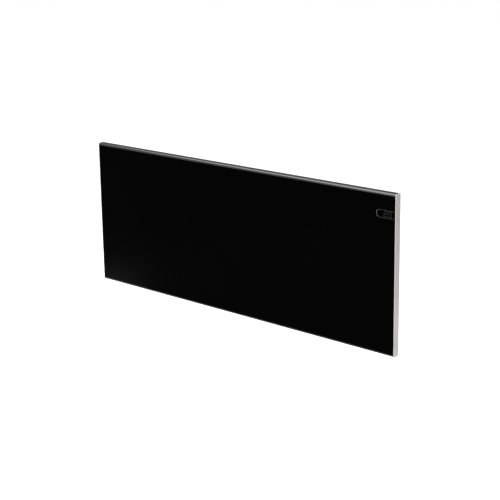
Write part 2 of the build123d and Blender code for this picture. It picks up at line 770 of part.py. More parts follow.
# ---- control box: a moulded tub, open towards the rear cover ----------------------------
with BuildPart() as control_box:
    with BuildSketch(Plane.XZ.offset(box_back)):
        with Locations((box_x, box_middle_height)):
            RectangleRounded(box_width, box_height, box_corner_radius)
    extrude(amount=box_depth)
    fillet(control_box.faces().sort_by(Axis.Y)[-1].edges(), box_edge_radius)
    with BuildSketch(Plane.XZ.offset(box_back + box_wall)):
        with Locations((box_x, box_middle_height)):
            RectangleRounded(
                box_width - 2 * box_wall,
                box_height - 2 * box_wall,
                box_corner_radius - box_wall,
            )
    extrude(amount=box_depth, mode=Mode.SUBTRACT)
    with BuildSketch(Plane.XZ.offset(box_back + box_wall)):
        with Locations((box_x, box_middle_height)):
            with GridLocations(*box_screw_grid, 2, 2):
                Circle(boss_radius)
    extrude(amount=box_depth - box_wall)
    with BuildSketch(Plane.XZ.offset(box_back)):
        with Locations((box_x, box_middle_height)):
            with GridLocations(*box_screw_grid, 2, 2):
                Circle(screw_radius + screw_clearance)
    extrude(amount=box_depth, mode=Mode.SUBTRACT)
    with BuildSketch(Plane.XZ.offset(box_back)):
        with Locations((box_x, box_middle_height)):
            with GridLocations(*box_screw_grid, 2, 2):
                Circle(head_radius + seat_gap)
    extrude(amount=head_height, mode=Mode.SUBTRACT)
    with BuildSketch(Plane.YZ.offset(box_right - box_wall)):
        with Locations((-box_middle_depth, switch_height)):
            Rectangle(switch_opening_depth, switch_opening)
    extrude(amount=box_wall, mode=Mode.SUBTRACT)
    with BuildSketch(Plane.XY.offset(box_middle_height - box_height / 2)):
        with Locations((gland_x, -box_middle_depth)):
            Circle(gland_shank_radius + screw_clearance)
    extrude(amount=box_wall, mode=Mode.SUBTRACT)
    with BuildSketch(Plane.XY.offset(box_middle_height + box_height / 2 - box_wall)):
        with Locations((box_x, -box_middle_depth)):
            with GridLocations(vent_pitch, 0, vent_count, 1):
                SlotOverall(vent_length, vent_width, rotation=90)
    extrude(amount=box_wall, mode=Mode.SUBTRACT)
    with BuildSketch(Plane.XZ.offset(box_back)):
        with Locations((box_x, box_middle_height - box_height / 2 + vent_drop)):
            with GridLocations(vent_pitch, 0, vent_count, 1):
                SlotOverall(vent_length, vent_width, rotation=90)
    extrude(amount=box_wall, mode=Mode.SUBTRACT)

with BuildPart() as control_box_screws:
    with BuildSketch(Plane.XZ.offset(box_back + head_height)):
        with Locations((box_x, box_middle_height)):
            with GridLocations(*box_screw_grid, 2, 2):
                Circle(screw_radius)
    extrude(amount=cover_inner + box_screw_reach - box_back - head_height)
    with BuildSketch(Plane.XZ.offset(box_back)):
        with Locations((box_x, box_middle_height)):
            with GridLocations(*box_screw_grid, 2, 2):
                Circle(head_radius)
    extrude(amount=head_height)
    with BuildSketch(Plane.XZ.offset(box_back)):
        with Locations((box_x, box_middle_height)):
            with GridLocations(*box_screw_grid, 2, 2):
                RegularPolygon(socket_width / 2, 6, major_radius=False)
    extrude(amount=socket_depth, mode=Mode.SUBTRACT)

# ---- power board and what stands on it --------------------------------------------------
with BuildPart() as board_standoffs:
    with BuildSketch(Plane.XZ.offset(board_face)):
        with Locations((board_x, box_middle_height)):
            with GridLocations(*board_post_grid, 2, 2):
                Circle(standoff_radius)
                Circle(screw_radius + screw_clearance, mode=Mode.SUBTRACT)
    extrude(amount=board_lift)

with BuildPart() as power_board:
    with BuildSketch(Plane.XZ.offset(board_back)):
        with Locations((board_x, box_middle_height)):
            Rectangle(board_width, board_height)
            with GridLocations(*board_post_grid, 2, 2):
                Circle(screw_radius + screw_clearance, mode=Mode.SUBTRACT)
    extrude(amount=board_thickness)

with BuildPart() as board_screws:
    with BuildSketch(Plane.XZ.offset(board_back)):
        with Locations((board_x, box_middle_height)):
            with GridLocations(*board_post_grid, 2, 2):
                Circle(screw_radius)
    extrude(amount=board_screw_length)
    with BuildSketch(Plane.XZ.offset(board_back)):
        with Locations((board_x, box_middle_height)):
            with GridLocations(*board_post_grid, 2, 2):
                Circle(head_radius)
    extrude(amount=-head_height)

with BuildPart() as relay:
    with BuildSketch(Plane.XZ.offset(board_back)):
        with Locations((board_x - relay_offset[0], box_middle_height + relay_offset[1])):
            Rectangle(relay_size[0], relay_size[2])
    extrude(amount=-relay_size[1])
    fillet(relay.faces().sort_by(Axis.Y)[-1].edges(), connector_edge_radius)

with BuildPart() as power_supply:
    with BuildSketch(Plane.XZ.offset(board_back)):
        with Locations((board_x + supply_offset[0], box_middle_height + supply_offset[1])):
            Rectangle(supply_size[0], supply_size[2])
    extrude(amount=-supply_size[1])
    fillet(power_supply.faces().sort_by(Axis.Y)[-1].edges(), connector_edge_radius)

with BuildPart() as terminal_block:
    with BuildSketch(Plane.XZ.offset(board_back)):
        with Locations((board_x - terminal_offset[0], box_middle_height - terminal_offset[1])):
            Rectangle(terminal_size[0], terminal_size[2])
    extrude(amount=-terminal_size[1])
    with BuildSketch(Plane.XZ.offset(board_back - terminal_size[1])):
        with Locations((board_x - terminal_offset[0], box_middle_height - terminal_offset[1])):
            with GridLocations(terminal_size[0] / terminal_count, 0, terminal_count, 1):
                Circle(terminal_bore)
    extrude(amount=terminal_size[1] / 2, mode=Mode.SUBTRACT)
    with BuildSketch(Plane.XY.offset(box_middle_height - terminal_offset[1] - terminal_size[2] / 2)):
        with Locations((board_x - terminal_offset[0], -board_back + terminal_size[1] / 2)):
            with GridLocations(terminal_size[0] / terminal_count, 0, terminal_count, 1):
                Rectangle(2 * terminal_bore, 2 * terminal_bore)
    extrude(amount=terminal_size[2] / 2, mode=Mode.SUBTRACT)

with BuildPart() as fuse_holder:
    with BuildSketch(Plane.XZ.offset(board_back)):
        with Locations((board_x + fuse_offset[0], box_middle_height - fuse_offset[1])):
            Rectangle(fuse_length + 2 * fuse_clip_width, 2 * fuse_radius + 2 * fuse_clip_width)
    extrude(amount=-fuse_seat)
    with BuildSketch(Plane.XZ.offset(board_back)):
        with Locations((board_x + fuse_offset[0], box_middle_height - fuse_offset[1])):
            with GridLocations(fuse_length + fuse_clip_width, 0, 2, 1):
                Rectangle(fuse_clip_width, 2 * fuse_radius + 2 * fuse_clip_width)
    extrude(amount=-fuse_seat - 2 * fuse_radius)

with BuildPart() as fuse:
    with BuildSketch(Plane.YZ.offset(board_x + fuse_offset[0] - fuse_length / 2 + seat_gap)):
        with Locations(
            (-board_back + fuse_seat + fuse_radius + seat_gap, box_middle_height - fuse_offset[1])
        ):
            Circle(fuse_radius)
    extrude(amount=fuse_length - 2 * seat_gap)

# ---- earth stud and its nut -------------------------------------------------------------
with BuildPart() as earth_stud:
    with BuildSketch(Plane.XZ.offset(rear_face)):
        with Locations((earth_x, earth_z)):
            Circle(earth_radius)
    extrude(amount=-earth_length)

with BuildPart() as earth_nut:
    with BuildSketch(Plane.XZ.offset(rear_face)):
        with Locations((earth_x, earth_z)):
            RegularPolygon(earth_nut_width / 2, 6, major_radius=False)
            Circle(earth_radius + screw_clearance, mode=Mode.SUBTRACT)
    extrude(amount=-earth_nut_height)

# ---- gland where the supply cord would come in ------------------------------------------
with BuildPart() as cable_gland:
    with BuildSketch(Plane.XY.offset(box_bottom)):
        with Locations((gland_x, -box_middle_depth)):
            Circle(gland_radius)
    extrude(amount=-gland_height)
    fillet(cable_gland.faces().sort_by(Axis.Z)[0].edges(), gland_round)
    with BuildSketch(Plane.XY.offset(box_bottom)):
        with Locations((gland_x, -box_middle_depth)):
            RegularPolygon(gland_nut_width / 2, 6, major_radius=False)
    extrude(amount=-gland_collar)
    with BuildSketch(Plane.XY.offset(box_bottom)):
        with Locations((gland_x, -box_middle_depth)):
            Circle(gland_shank_radius)
    extrude(amount=gland_shank_length)
    with BuildSketch(Plane.XY.offset(box_bottom - gland_height)):
        with Locations((gland_x, -box_middle_depth)):
            Circle(gland_bore)
    extrude(amount=gland_height + gland_shank_length, mode=Mode.SUBTRACT)

with BuildPart() as gland_nut:
    with BuildSketch(Plane.XY.offset(box_bottom + box_wall)):
        with Locations((gland_x, -box_middle_depth)):
            RegularPolygon(gland_nut_width / 2, 6, major_radius=False)
            Circle(gland_shank_radius + screw_clearance, mode=Mode.SUBTRACT)
    extrude(amount=gland_nut_height)

# ---- rocker switch in the side of the control box ---------------------------------------
with BuildPart() as switch_body:
    with BuildSketch(Plane.YZ.offset(box_right)):
        with Locations((-box_middle_depth, switch_height)):
            Rectangle(
                switch_opening_depth + 2 * switch_flange_rim,
                switch_opening + 2 * switch_flange_rim,
            )
    extrude(amount=switch_flange)
    chamfer(switch_body.faces().sort_by(Axis.X)[-1].edges(), switch_flange / 3)
    with BuildSketch(Plane.YZ.offset(box_right)):
        with Locations((-box_middle_depth, switch_height)):
            Rectangle(
                switch_opening_depth - 2 * screw_clearance,
                switch_opening - 2 * screw_clearance,
            )
    extrude(amount=-switch_body_depth)
    with BuildSketch(Plane.YZ.offset(box_right + switch_flange)):
        with Locations((-box_middle_depth, switch_height)):
            Rectangle(
                rocker_width + 2 * seat_gap,
                rocker_length + 2 * rocker_pocket_gap,
            )
    extrude(amount=-rocker_pocket_depth, mode=Mode.SUBTRACT)
    with BuildSketch(Plane.XZ.offset(box_middle_depth)):
        with Locations((pivot_x, switch_height)):
            Circle(rocker_pin_radius + pivot_clearance)
    extrude(
        amount=rocker_width / 2 + rocker_pin_length + seat_gap,
        both=True,
        mode=Mode.SUBTRACT,
    )

with BuildPart() as power_rocker:
    with BuildSketch(Plane.XZ.offset(box_middle_depth)):
        with Locations((pivot_x, switch_height)):
            Polygon(
                (rocker_crown, rocker_length / 2),
                (rocker_crown - rocker_dish, 0),
                (rocker_crown, -rocker_length / 2),
                (0, -rocker_length / 2),
                (-rocker_skirt, -rocker_length / 3),
                (-rocker_skirt, rocker_length / 3),
                (0, rocker_length / 2),
                rotation=rocker_travel / 2,
                align=None,
            )
    extrude(amount=rocker_width / 2, both=True)
    with BuildSketch(Plane.XZ.offset(box_middle_depth)):
        with Locations((pivot_x, switch_height)):
            Circle(rocker_pin_radius)
    extrude(amount=rocker_width / 2 + rocker_pin_length, both=True)

with BuildPart() as switch_spades:
    with BuildSketch(Plane.YZ.offset(box_right - switch_body_depth)):
        with Locations((-box_middle_depth, switch_height)):
            with GridLocations(0, spade_pitch, 1, spade_count):
                Rectangle(spade_width, spade_thickness)
    extrude(amount=-spade_length)

pieces = {
    "front_glass": front_glass,
    "top_rail": top_rail,
    "bottom_rail": bottom_rail,
    "left_end_trim": left_end_trim,
    "right_end_trim": right_end_trim,
    "trim_screws": trim_screws,
    "glass_bond_strips": glass_bond_strips,
    "element_carrier": element_carrier,
    "heating_element": heating_element,
    "element_lugs": element_lugs,
    "element_cover": element_cover,
    "reflector_sheet": reflector_sheet,
    "insulation_board": insulation_board,
    "thermal_cutouts": thermal_cutouts,
    "temperature_sensor": temperature_sensor,
    "heat_barrier": heat_barrier,
    "touch_foil": touch_foil,
    "digit_module": digit_module,
    "display_board": display_board,
    "display_posts": display_posts,
    "display_screws": display_screws,
    "rear_cover": rear_cover,
    "rear_cover_screws": rear_cover_screws,
    "lead_grommet": lead_grommet,
    "element_leads": element_leads,
    "lead_connector": lead_connector,
    "display_ribbon": display_ribbon,
    "ribbon_plug": ribbon_plug,
    "left_hanger": left_hanger,
    "right_hanger": right_hanger,
    "hanger_rivets": hanger_rivets,
    "control_box": control_box,
    "control_box_screws": control_box_screws,
    "board_standoffs": board_standoffs,
    "power_board": power_board,
    "board_screws": board_screws,
    "relay": relay,
    "power_supply": power_supply,
    "terminal_block": terminal_block,
    "fuse_holder": fuse_holder,
    "fuse": fuse,
    "earth_stud": earth_stud,
    "earth_nut": earth_nut,
    "cable_gland": cable_gland,
    "gland_nut": gland_nut,
    "switch_body": switch_body,
    "switch_spades": switch_spades,
    "power_rocker": power_rocker,
    "left_upright": left_upright,
    "right_upright": right_upright,
    "upper_strap": upper_strap,
    "lower_strap": lower_strap,
    "strap_rivets": strap_rivets,
}
for node, piece in pieces.items():
    piece.part.label = node
    export_step(piece.part, f"parts/{node}.step")
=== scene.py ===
"""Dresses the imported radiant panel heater: shapes, finishes, studio and camera.

Lengths are metres in the CAD frame: +X along the panel to the viewer's right, +Y into the
wall, +Z up, with the origin on the wall plane in the middle of the wall screw pattern.
"""

import json
import logging
import math
from dataclasses import dataclass, field
from enum import Enum
from typing import Callable, Iterable, Sequence

import bmesh
import bpy
from mathutils import Matrix, Vector
from mathutils.geometry import tessellate_polygon


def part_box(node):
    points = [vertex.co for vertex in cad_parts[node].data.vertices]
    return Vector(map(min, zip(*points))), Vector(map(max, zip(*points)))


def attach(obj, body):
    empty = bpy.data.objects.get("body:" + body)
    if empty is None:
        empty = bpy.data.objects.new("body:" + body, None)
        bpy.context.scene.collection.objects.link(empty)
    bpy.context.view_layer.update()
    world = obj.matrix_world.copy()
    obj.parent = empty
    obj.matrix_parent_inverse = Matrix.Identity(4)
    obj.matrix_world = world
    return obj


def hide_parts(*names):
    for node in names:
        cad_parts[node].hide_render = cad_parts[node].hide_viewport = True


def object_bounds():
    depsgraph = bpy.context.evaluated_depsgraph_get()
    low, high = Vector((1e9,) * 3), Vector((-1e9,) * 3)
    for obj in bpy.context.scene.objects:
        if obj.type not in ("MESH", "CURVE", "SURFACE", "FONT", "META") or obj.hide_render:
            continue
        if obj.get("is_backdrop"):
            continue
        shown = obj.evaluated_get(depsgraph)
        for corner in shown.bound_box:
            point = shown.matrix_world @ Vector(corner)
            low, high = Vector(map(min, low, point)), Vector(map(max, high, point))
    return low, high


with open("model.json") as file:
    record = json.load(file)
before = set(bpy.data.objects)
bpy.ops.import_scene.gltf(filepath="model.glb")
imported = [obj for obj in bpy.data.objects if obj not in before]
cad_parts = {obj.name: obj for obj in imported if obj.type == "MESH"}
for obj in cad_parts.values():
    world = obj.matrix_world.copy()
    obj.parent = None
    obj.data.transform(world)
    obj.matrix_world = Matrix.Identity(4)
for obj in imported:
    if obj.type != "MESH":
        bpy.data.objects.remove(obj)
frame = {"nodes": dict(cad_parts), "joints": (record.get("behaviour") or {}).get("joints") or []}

Pair = tuple[float, float]
Point = tuple[float, float, float]
Piece = bpy.types.Object
Socket = bpy.types.NodeSocket
Tree = bpy.types.NodeTree

LOG = logging.getLogger("panel_heater")
MM = 0.001
CAD_LOW, CAD_HIGH = (list(corner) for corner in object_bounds())
FORMED = "_formed"  # ends the name of a piece that stands for a CAD node
GLASS_BACK = 0.05 * MM  # how far the glass face lies behind the CAD face, for the print on it
CAD_WELD = 2e-6  # corners of a CAD mesh that are nearer than this are one
OWN_WELD = 0.5e-6  # the same on a mesh made here
FLAT_DEGREES = 0.4  # faces of a CAD copy that meet flatter than this are joined
NOISE_SPAN = (0.3, 0.7)  # values that most of a noise texture lies between
CLOUD_SPAN = (0.12, 0.42)  # the same for one noise times another


class Body(Enum):
    """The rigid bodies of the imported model."""

    HEATER = "heater"
    WALL = "wall_bracket"
    ROCKER = "rocker"


# ---------------------------------------------------------------------------- shader helpers


def linear(hex_colour: str) -> tuple[float, float, float, float]:
    """Turns an sRGB hex colour into linear RGBA.

    Args:
        hex_colour: Six hex digits.

    Returns:
        Linear red, green, blue and an alpha of 1.
    """
    parts = [int(hex_colour[i : i + 2], 16) / 255 for i in (0, 2, 4)]
    red, green, blue = (
        c / 12.92 if c <= 0.04045 else ((c + 0.055) / 1.055) ** 2.4 for c in parts
    )
    return red, green, blue, 1.0


def add_node(
    tree: Tree,
    kind: str,
    settings: dict[str, object] | None = None,
    links: dict[str | int, object] | None = None,
) -> bpy.types.Node:
    """Adds one node, sets it up and links it.

    Args:
        tree: The node tree that gets the node.
        kind: Blender's type name of the node.
        settings: Properties of the node itself.
        links: Input name or index to an output socket, or to a plain value.

    Returns:
        The new node.
    """
    node = tree.nodes.new(kind)
    for key, value in (settings or {}).items():
        setattr(node, key, value)
    for key, value in (links or {}).items():
        socket = node.inputs[key]
        if isinstance(value, Socket):
            tree.links.new(value, socket)
        else:
            socket.default_value = value
    return node


def fresh_tree(owner: bpy.types.Material | bpy.types.World) -> Tree:
    """Turns a material's or world's nodes on and empties them.

    Args:
        owner: The material or world.

    Returns:
        Its empty node tree.
    """
    owner.use_nodes = True
    owner.node_tree.nodes.clear()
    return owner.node_tree


# ---------------------------------------------------------------------------------- finishes


@dataclass(frozen=True)
class Finish:
    """A surface made of one material: two tones, a fine grain and a broad cloud.

    Attributes:
        name: The material's common name and how it was made.
        tone: Main colour, sRGB hex.
        shade: Second colour, sRGB hex, that the cloud mixes in.
        metallic: 0 for a dielectric, 1 for bare metal.
        roughness: Lowest and highest roughness over the surface.
        ior: Index of refraction, left at the default on metals.
        grain_mm: Size of the fine grain.
        drawn_mm: Its size per axis instead, where it is drawn out.
        cloud_mm: Size of the broad variation.
        relief_mm: Height of the grain.
        coat: Weight of a clear coat.
        coat_roughness: Roughness of that coat.
        sheen: Weight of a fibre sheen.
    """

    name: str
    tone: str
    shade: str
    metallic: float = 0.0
    roughness: Pair = (0.4, 0.5)
    ior: float = 1.5
    grain_mm: float = 0.8
    drawn_mm: tuple[float, float, float] | None = None
    cloud_mm: float = 60.0
    relief_mm: float = 0.01
    coat: float = 0.0
    coat_roughness: float = 0.08
    sheen: float = 0.0

    def grain(self, tree: Tree, place: Socket) -> Socket:
        """Builds the fine grain.

        Args:
            tree: The material's tree.
            place: Object coordinates in metres.

        Returns:
            A value from 0 to 1.
        """
        sizes = self.drawn_mm or [self.grain_mm] * 3
        drawn = add_node(
            tree, "ShaderNodeMapping",
            links={"Vector": place, "Scale": [1 / (size * MM) for size in sizes]},
        )
        noise = add_node(
            tree, "ShaderNodeTexNoise",
            links={"Vector": drawn.outputs[0], "Scale": 1.0, "Detail": 2.0, "Roughness": 0.55},
        )
        return noise.outputs["Fac"]

    def share(self, tree: Tree, place: Socket, grain: Socket) -> Socket:
        """Builds the share of the shade in the colour: a broad cloud, broken by the grain.

        Args:
            tree: The material's tree.
            place: Object coordinates in metres.
            grain: The fine grain.

        Returns:
            A value from 0 for the tone to 1 for the shade.
        """
        cloud = add_node(
            tree, "ShaderNodeTexNoise",
            links={"Vector": place, "Scale": 1 / (self.cloud_mm * MM), "Detail": 4.0},
        )
        both = add_node(
            tree, "ShaderNodeMath", {"operation": "MULTIPLY"}, {0: cloud.outputs["Fac"], 1: grain}
        )
        low, high = CLOUD_SPAN
        return add_node(
            tree, "ShaderNodeMapRange",
            links={"Value": both.outputs[0], "From Min": low, "From Max": high},
        ).outputs[0]

    def build(self) -> bpy.types.Material:
        """Makes the material, or finds it if it exists already.

        Returns:
            The material.
        """
        known = bpy.data.materials.get(self.name)
        if known is not None:
            return known
        material = bpy.data.materials.new(self.name)
        tree = fresh_tree(material)
        place = add_node(tree, "ShaderNodeTexCoord").outputs["Object"]
        grain = self.grain(tree, place)
        colour = add_node(
            tree, "ShaderNodeMix", {"data_type": "RGBA"},
            {
                "Factor": self.share(tree, place, grain),
                "A": linear(self.tone), "B": linear(self.shade),
            },
        )
        rough = add_node(
            tree, "ShaderNodeMapRange",
            links={
                "Value": grain, "From Min": NOISE_SPAN[0], "From Max": NOISE_SPAN[1],
                "To Min": self.roughness[0], "To Max": self.roughness[1],
            },
        )
        relief = add_node(
            tree, "ShaderNodeBump",
            links={"Height": grain, "Strength": 1.0, "Distance": self.relief_mm * MM},
        )
        surface = add_node(
            tree, "ShaderNodeBsdfPrincipled",
            links={
                "Base Color": colour.outputs["Result"],
                "Roughness": rough.outputs[0],
                "Metallic": self.metallic,
                "IOR": self.ior,
                "Coat Weight": self.coat,
                "Coat Roughness": self.coat_roughness,
                "Sheen Weight": self.sheen,
                "Normal": relief.outputs[0],
            },
        )
        add_node(tree, "ShaderNodeOutputMaterial", links={"Surface": surface.outputs[0]})
        return material


@dataclass(frozen=True)
class BoardFinish(Finish):
    """A circuit board: solder mask over copper tracks, which show as a paler green.

    Attributes:
        track_mm: Pitch of the tracks.
        bare: How far from the middle of a pitch the plain mask reaches, in pitches.
    """

    track_mm: float = 2.6
    bare: float = 0.42

    def share(self, tree: Tree, place: Socket, grain: Socket) -> Socket:
        """Builds a pattern of square-cornered tracks.

        Args:
            tree: The material's tree.
            place: Object coordinates in metres.
            grain: The fine grain, which the tracks don't use.

        Returns:
            1 on a track, 0 beside it.
        """
        cells = add_node(
            tree, "ShaderNodeTexVoronoi", {"distance": "CHEBYCHEV", "feature": "F1"},
            {"Vector": place, "Scale": 1 / (self.track_mm * MM), "Randomness": 0.55},
        )
        return add_node(
            tree, "ShaderNodeMath", {"operation": "GREATER_THAN"},
            {0: cells.outputs["Distance"], 1: self.bare},
        ).outputs[0]


@dataclass(frozen=True)
class FadingInk(Finish):
    """Printed ink whose dot screen thins out along the panel, from full to faint.

    Attributes:
        full_mm: Place along X up to which the ink is full.
        faint_mm: Place along X from which it is faint.
    """

    full_mm: float = 443.0
    faint_mm: float = 456.0

    def share(self, tree: Tree, place: Socket, grain: Socket) -> Socket:
        """Builds the fading from full to faint.

        Args:
            tree: The material's tree.
            place: Object coordinates in metres.
            grain: The fine grain, which the fading doesn't use.

        Returns:
            0 where the ink is full, 1 where it is faint.
        """
        split = add_node(tree, "ShaderNodeSeparateXYZ", links={"Vector": place})
        return add_node(
            tree, "ShaderNodeMapRange", {"interpolation_type": "SMOOTHSTEP"},
            {
                "Value": split.outputs["X"],
                "From Min": self.full_mm * MM, "From Max": self.faint_mm * MM,
            },
        ).outputs[0]


# Printed glass: 4 mm float glass with black ceramic fired on its back and an etched,
# glare-free front. Its IOR is far below real glass, so that it gives back almost no light.
BLACK_GLASS = Finish(
    "black_ceramic_printed_glass", "010101", "020202",
    roughness=(0.14, 0.17), ior=1.03, grain_mm=0.5, cloud_mm=180, relief_mm=0.0004,
)
# Aluminium extrusion with gloss black stoved enamel: a deep black that mirrors the room softly.
GLOSS_ENAMEL = Finish(
    "gloss_black_stoved_enamel", "060607", "0b0b0d",
    roughness=(0.12, 0.18), grain_mm=0.9, cloud_mm=90, relief_mm=0.0015,
)
# The same enamel flatted back on the lower rail: a low IOR, as it mirrors the floor dimly.
DULL_ENAMEL = Finish(
    "dull_black_stoved_enamel", "060607", "09090a",
    roughness=(0.3, 0.38), ior=1.2, grain_mm=0.9, cloud_mm=90, relief_mm=0.0015,
)
# Die-cast end trim with satin silver lacquer: a warm light grey with a fine metallic fleck.
SILVER_LACQUER = Finish(
    "satin_silver_lacquer", "a5a3a2", "999796", metallic=0.5,
    roughness=(0.26, 0.34), grain_mm=0.35, cloud_mm=70, relief_mm=0.004,
)
# Ring of grey ink, brightest where it turns round the left end.
RING_INK = FadingInk(
    "fading_grey_ceramic_ink", "4d4d4e", "191919",
    roughness=(0.5, 0.6), ior=1.2, grain_mm=0.25, cloud_mm=9, relief_mm=0.001,
)
# Digits of the display, dim behind the smoked window.
DIGIT_GREY = Finish(
    "dim_display_digits", "131314", "101011",
    roughness=(0.5, 0.6), ior=1.2, grain_mm=0.25, cloud_mm=9, relief_mm=0.001,
)
# Galvanised sheet with dark grey powder coat: matt, with a fine orange peel.
DARK_POWDER = Finish(
    "dark_grey_powder_coat", "4a4b4e", "404144",
    roughness=(0.46, 0.58), grain_mm=1.1, cloud_mm=140, relief_mm=0.02,
)
# Bracket steel with textured black powder coat: coarser peel, duller.
TEXTURED_POWDER = Finish(
    "textured_black_powder_coat", "1c1d1f", "141516",
    roughness=(0.55, 0.72), grain_mm=0.8, cloud_mm=60, relief_mm=0.06,
)
# Zinc-plated steel: pale, slightly blue, with a passivation cloud.
ZINC = Finish(
    "zinc_plated_steel", "c6c9cb", "aeb0ae", metallic=1.0,
    roughness=(0.24, 0.38), grain_mm=0.3, cloud_mm=4, relief_mm=0.003,
)
# Moulded ABS with a spark-eroded texture: black, even, with pin-point glints.
SPARKED_ABS = Finish(
    "spark_textured_abs", "1d1e20", "151618",
    roughness=(0.42, 0.6), grain_mm=0.45, cloud_mm=45, relief_mm=0.03,
)
# Polished nylon rocker: smooth black.
POLISHED_NYLON = Finish(
    "polished_black_nylon", "141416", "1a1a1c",
    roughness=(0.18, 0.26), grain_mm=0.6, cloud_mm=12, relief_mm=0.002,
)
# Pad-printed white marks on the rocker.
WHITE_INK = Finish(
    "white_pad_print", "e8e8e4", "dcdcd8",
    roughness=(0.5, 0.6), grain_mm=0.2, cloud_mm=4, relief_mm=0.001,
)
# Pressed mica sheet: golden, flaky, faintly pearly.
MICA = Finish(
    "pressed_mica", "b49a66", "8f7443",
    roughness=(0.3, 0.55), ior=1.56, grain_mm=3.5, cloud_mm=25, relief_mm=0.05,
    coat=0.2,
)
# Etched resistance foil: dull grey metal rolled along its length.
RESISTANCE_FOIL = Finish(
    "etched_resistance_foil", "8d887e", "77726a", metallic=1.0,
    roughness=(0.32, 0.46), drawn_mm=(0.3, 0.3, 6.0), cloud_mm=30, relief_mm=0.003,
)
# Bright rolled aluminium: mirror-like with rolling lines along the panel.
ROLLED_ALUMINIUM = Finish(
    "bright_rolled_aluminium", "dadbdc", "cfd0d2", metallic=1.0,
    roughness=(0.16, 0.3), drawn_mm=(12.0, 0.4, 0.4), cloud_mm=80, relief_mm=0.004,
)
# Pressed mineral fibre board: soft, cream, fibrous.
MINERAL_FIBRE = Finish(
    "pressed_mineral_fibre", "cfc6ae", "b5aa8e",
    roughness=(0.9, 1.0), drawn_mm=(6.0, 0.7, 0.7), cloud_mm=22, relief_mm=0.3, sheen=0.3,
)
# Bare brass, stamped.
BRASS = Finish(
    "stamped_brass", "c9a45c", "b08a44", metallic=1.0,
    roughness=(0.25, 0.4), drawn_mm=(0.3, 0.3, 2.0), cloud_mm=6, relief_mm=0.003,
)
# Steatite ceramic: off-white, faintly speckled.
STEATITE = Finish(
    "steatite_ceramic", "e4dfd2", "d2ccbc",
    roughness=(0.4, 0.6), grain_mm=0.5, cloud_mm=5, relief_mm=0.01,
)
# Grey silicone adhesive.
SILICONE = Finish(
    "grey_silicone", "55585a", "484a4c",
    roughness=(0.5, 0.7), ior=1.41, grain_mm=1.5, cloud_mm=12, relief_mm=0.05,
)
# Moulded black rubber.
RUBBER = Finish(
    "moulded_black_rubber", "1a1a1a", "232323",
    roughness=(0.65, 0.85), ior=1.52, grain_mm=0.7, cloud_mm=9, relief_mm=0.02,
)
# Silicone-sleeved heater wire, brick red.
RED_SLEEVE = Finish(
    "red_silicone_sleeve", "8f2f25", "7a261e",
    roughness=(0.45, 0.6), ior=1.41, grain_mm=0.6, cloud_mm=8, relief_mm=0.02,
)
# Flat ribbon cable, pale grey PVC.
RIBBON_PVC = Finish(
    "pale_ribbon_pvc", "cfcfca", "b9b9b4",
    roughness=(0.35, 0.5), drawn_mm=(1.0, 4.0, 30.0), cloud_mm=14, relief_mm=0.1,
)
# Natural nylon connector housings.
NATURAL_NYLON = Finish(
    "natural_nylon", "e3e0d4", "d6d2c4",
    roughness=(0.35, 0.5), ior=1.53, grain_mm=0.6, cloud_mm=8, relief_mm=0.01,
)
# Green moulded terminal body.
GREEN_PBT = Finish(
    "green_moulded_pbt", "2f7a45", "276a3b",
    roughness=(0.35, 0.5), grain_mm=0.5, cloud_mm=8, relief_mm=0.01,
)
# Printed sensor film and LED block: dull black.
SENSOR_FILM = Finish(
    "printed_sensor_film", "202124", "2b2c30",
    roughness=(0.3, 0.45), grain_mm=0.8, cloud_mm=6, relief_mm=0.004,
)
# Fuse: clear glass tube, here as the pale grey it reads as between its clips.
FUSE_GLASS = Finish(
    "fuse_tube_glass", "c4cccc", "aeb8b8",
    roughness=(0.08, 0.14), grain_mm=2, cloud_mm=10, relief_mm=0.001, coat=0.5,
)
# Glass-epoxy board with green solder mask.
GREEN_BOARD = BoardFinish(
    "green_masked_board", "0f4a28", "1b6638",
    roughness=(0.25, 0.35), ior=1.55, grain_mm=0.4, cloud_mm=20, relief_mm=0.01,
)


# ------------------------------------------------------------------------------ mesh helpers


def linked(name: str, data: bpy.types.ID) -> Piece:
    """Puts a mesh, lamp or camera into the scene as an object.

    Args:
        name: The object's name.
        data: Its mesh, lamp or camera.

    Returns:
        The object, at the origin.
    """
    made = bpy.data.objects.new(name, data)
    bpy.context.scene.collection.objects.link(made)
    return made


def welded(mesh: bpy.types.Mesh, reach: float) -> bmesh.types.BMesh:
    """Opens a mesh for editing, with its double corners merged.

    Args:
        mesh: The mesh, which stays as it is.
        reach: Distance under which two corners are one.

    Returns:
        The editable copy, which the caller frees.
    """
    work = bmesh.new()
    work.from_mesh(mesh)
    bmesh.ops.remove_doubles(work, verts=work.verts, dist=reach)
    return work


def arc(centre: Pair, radius: float, start: float, turn: float, steps: int) -> list[Pair]:
    """Traces a part of a circle, with both its ends.

    Args:
        centre: Its centre.
        radius: Its radius.
        start: Angle of its first point, in degrees anticlockwise from the first axis.
        turn: Degrees from there to its last point.
        steps: Straight pieces that it is made of.

    Returns:
        The points.
    """
    angles = [math.radians(start + turn * step / steps) for step in range(steps + 1)]
    return [(centre[0] + radius * math.cos(a), centre[1] + radius * math.sin(a)) for a in angles]


def rounded_rectangle(low: Pair, high: Pair, radii: Sequence[float], steps: int) -> list[Pair]:
    """Traces a rectangle with its own radius at each corner.

    Args:
        low: Lowest corner.
        high: Highest corner.
        radii: Radius at low-low, high-low, high-high and low-high.
        steps: Segments per corner.

    Returns:
        The outline, anticlockwise.
    """
    corners = (
        (low[0], low[1], 1, 1, 180), (high[0], low[1], -1, 1, 270),
        (high[0], high[1], -1, -1, 0), (low[0], high[1], 1, -1, 90),
    )
    outline = []
    for (x, y, to_x, to_y, start), radius in zip(corners, radii):
        outline += arc((x + to_x * radius, y + to_y * radius), radius, start, 90, steps)
    return outline


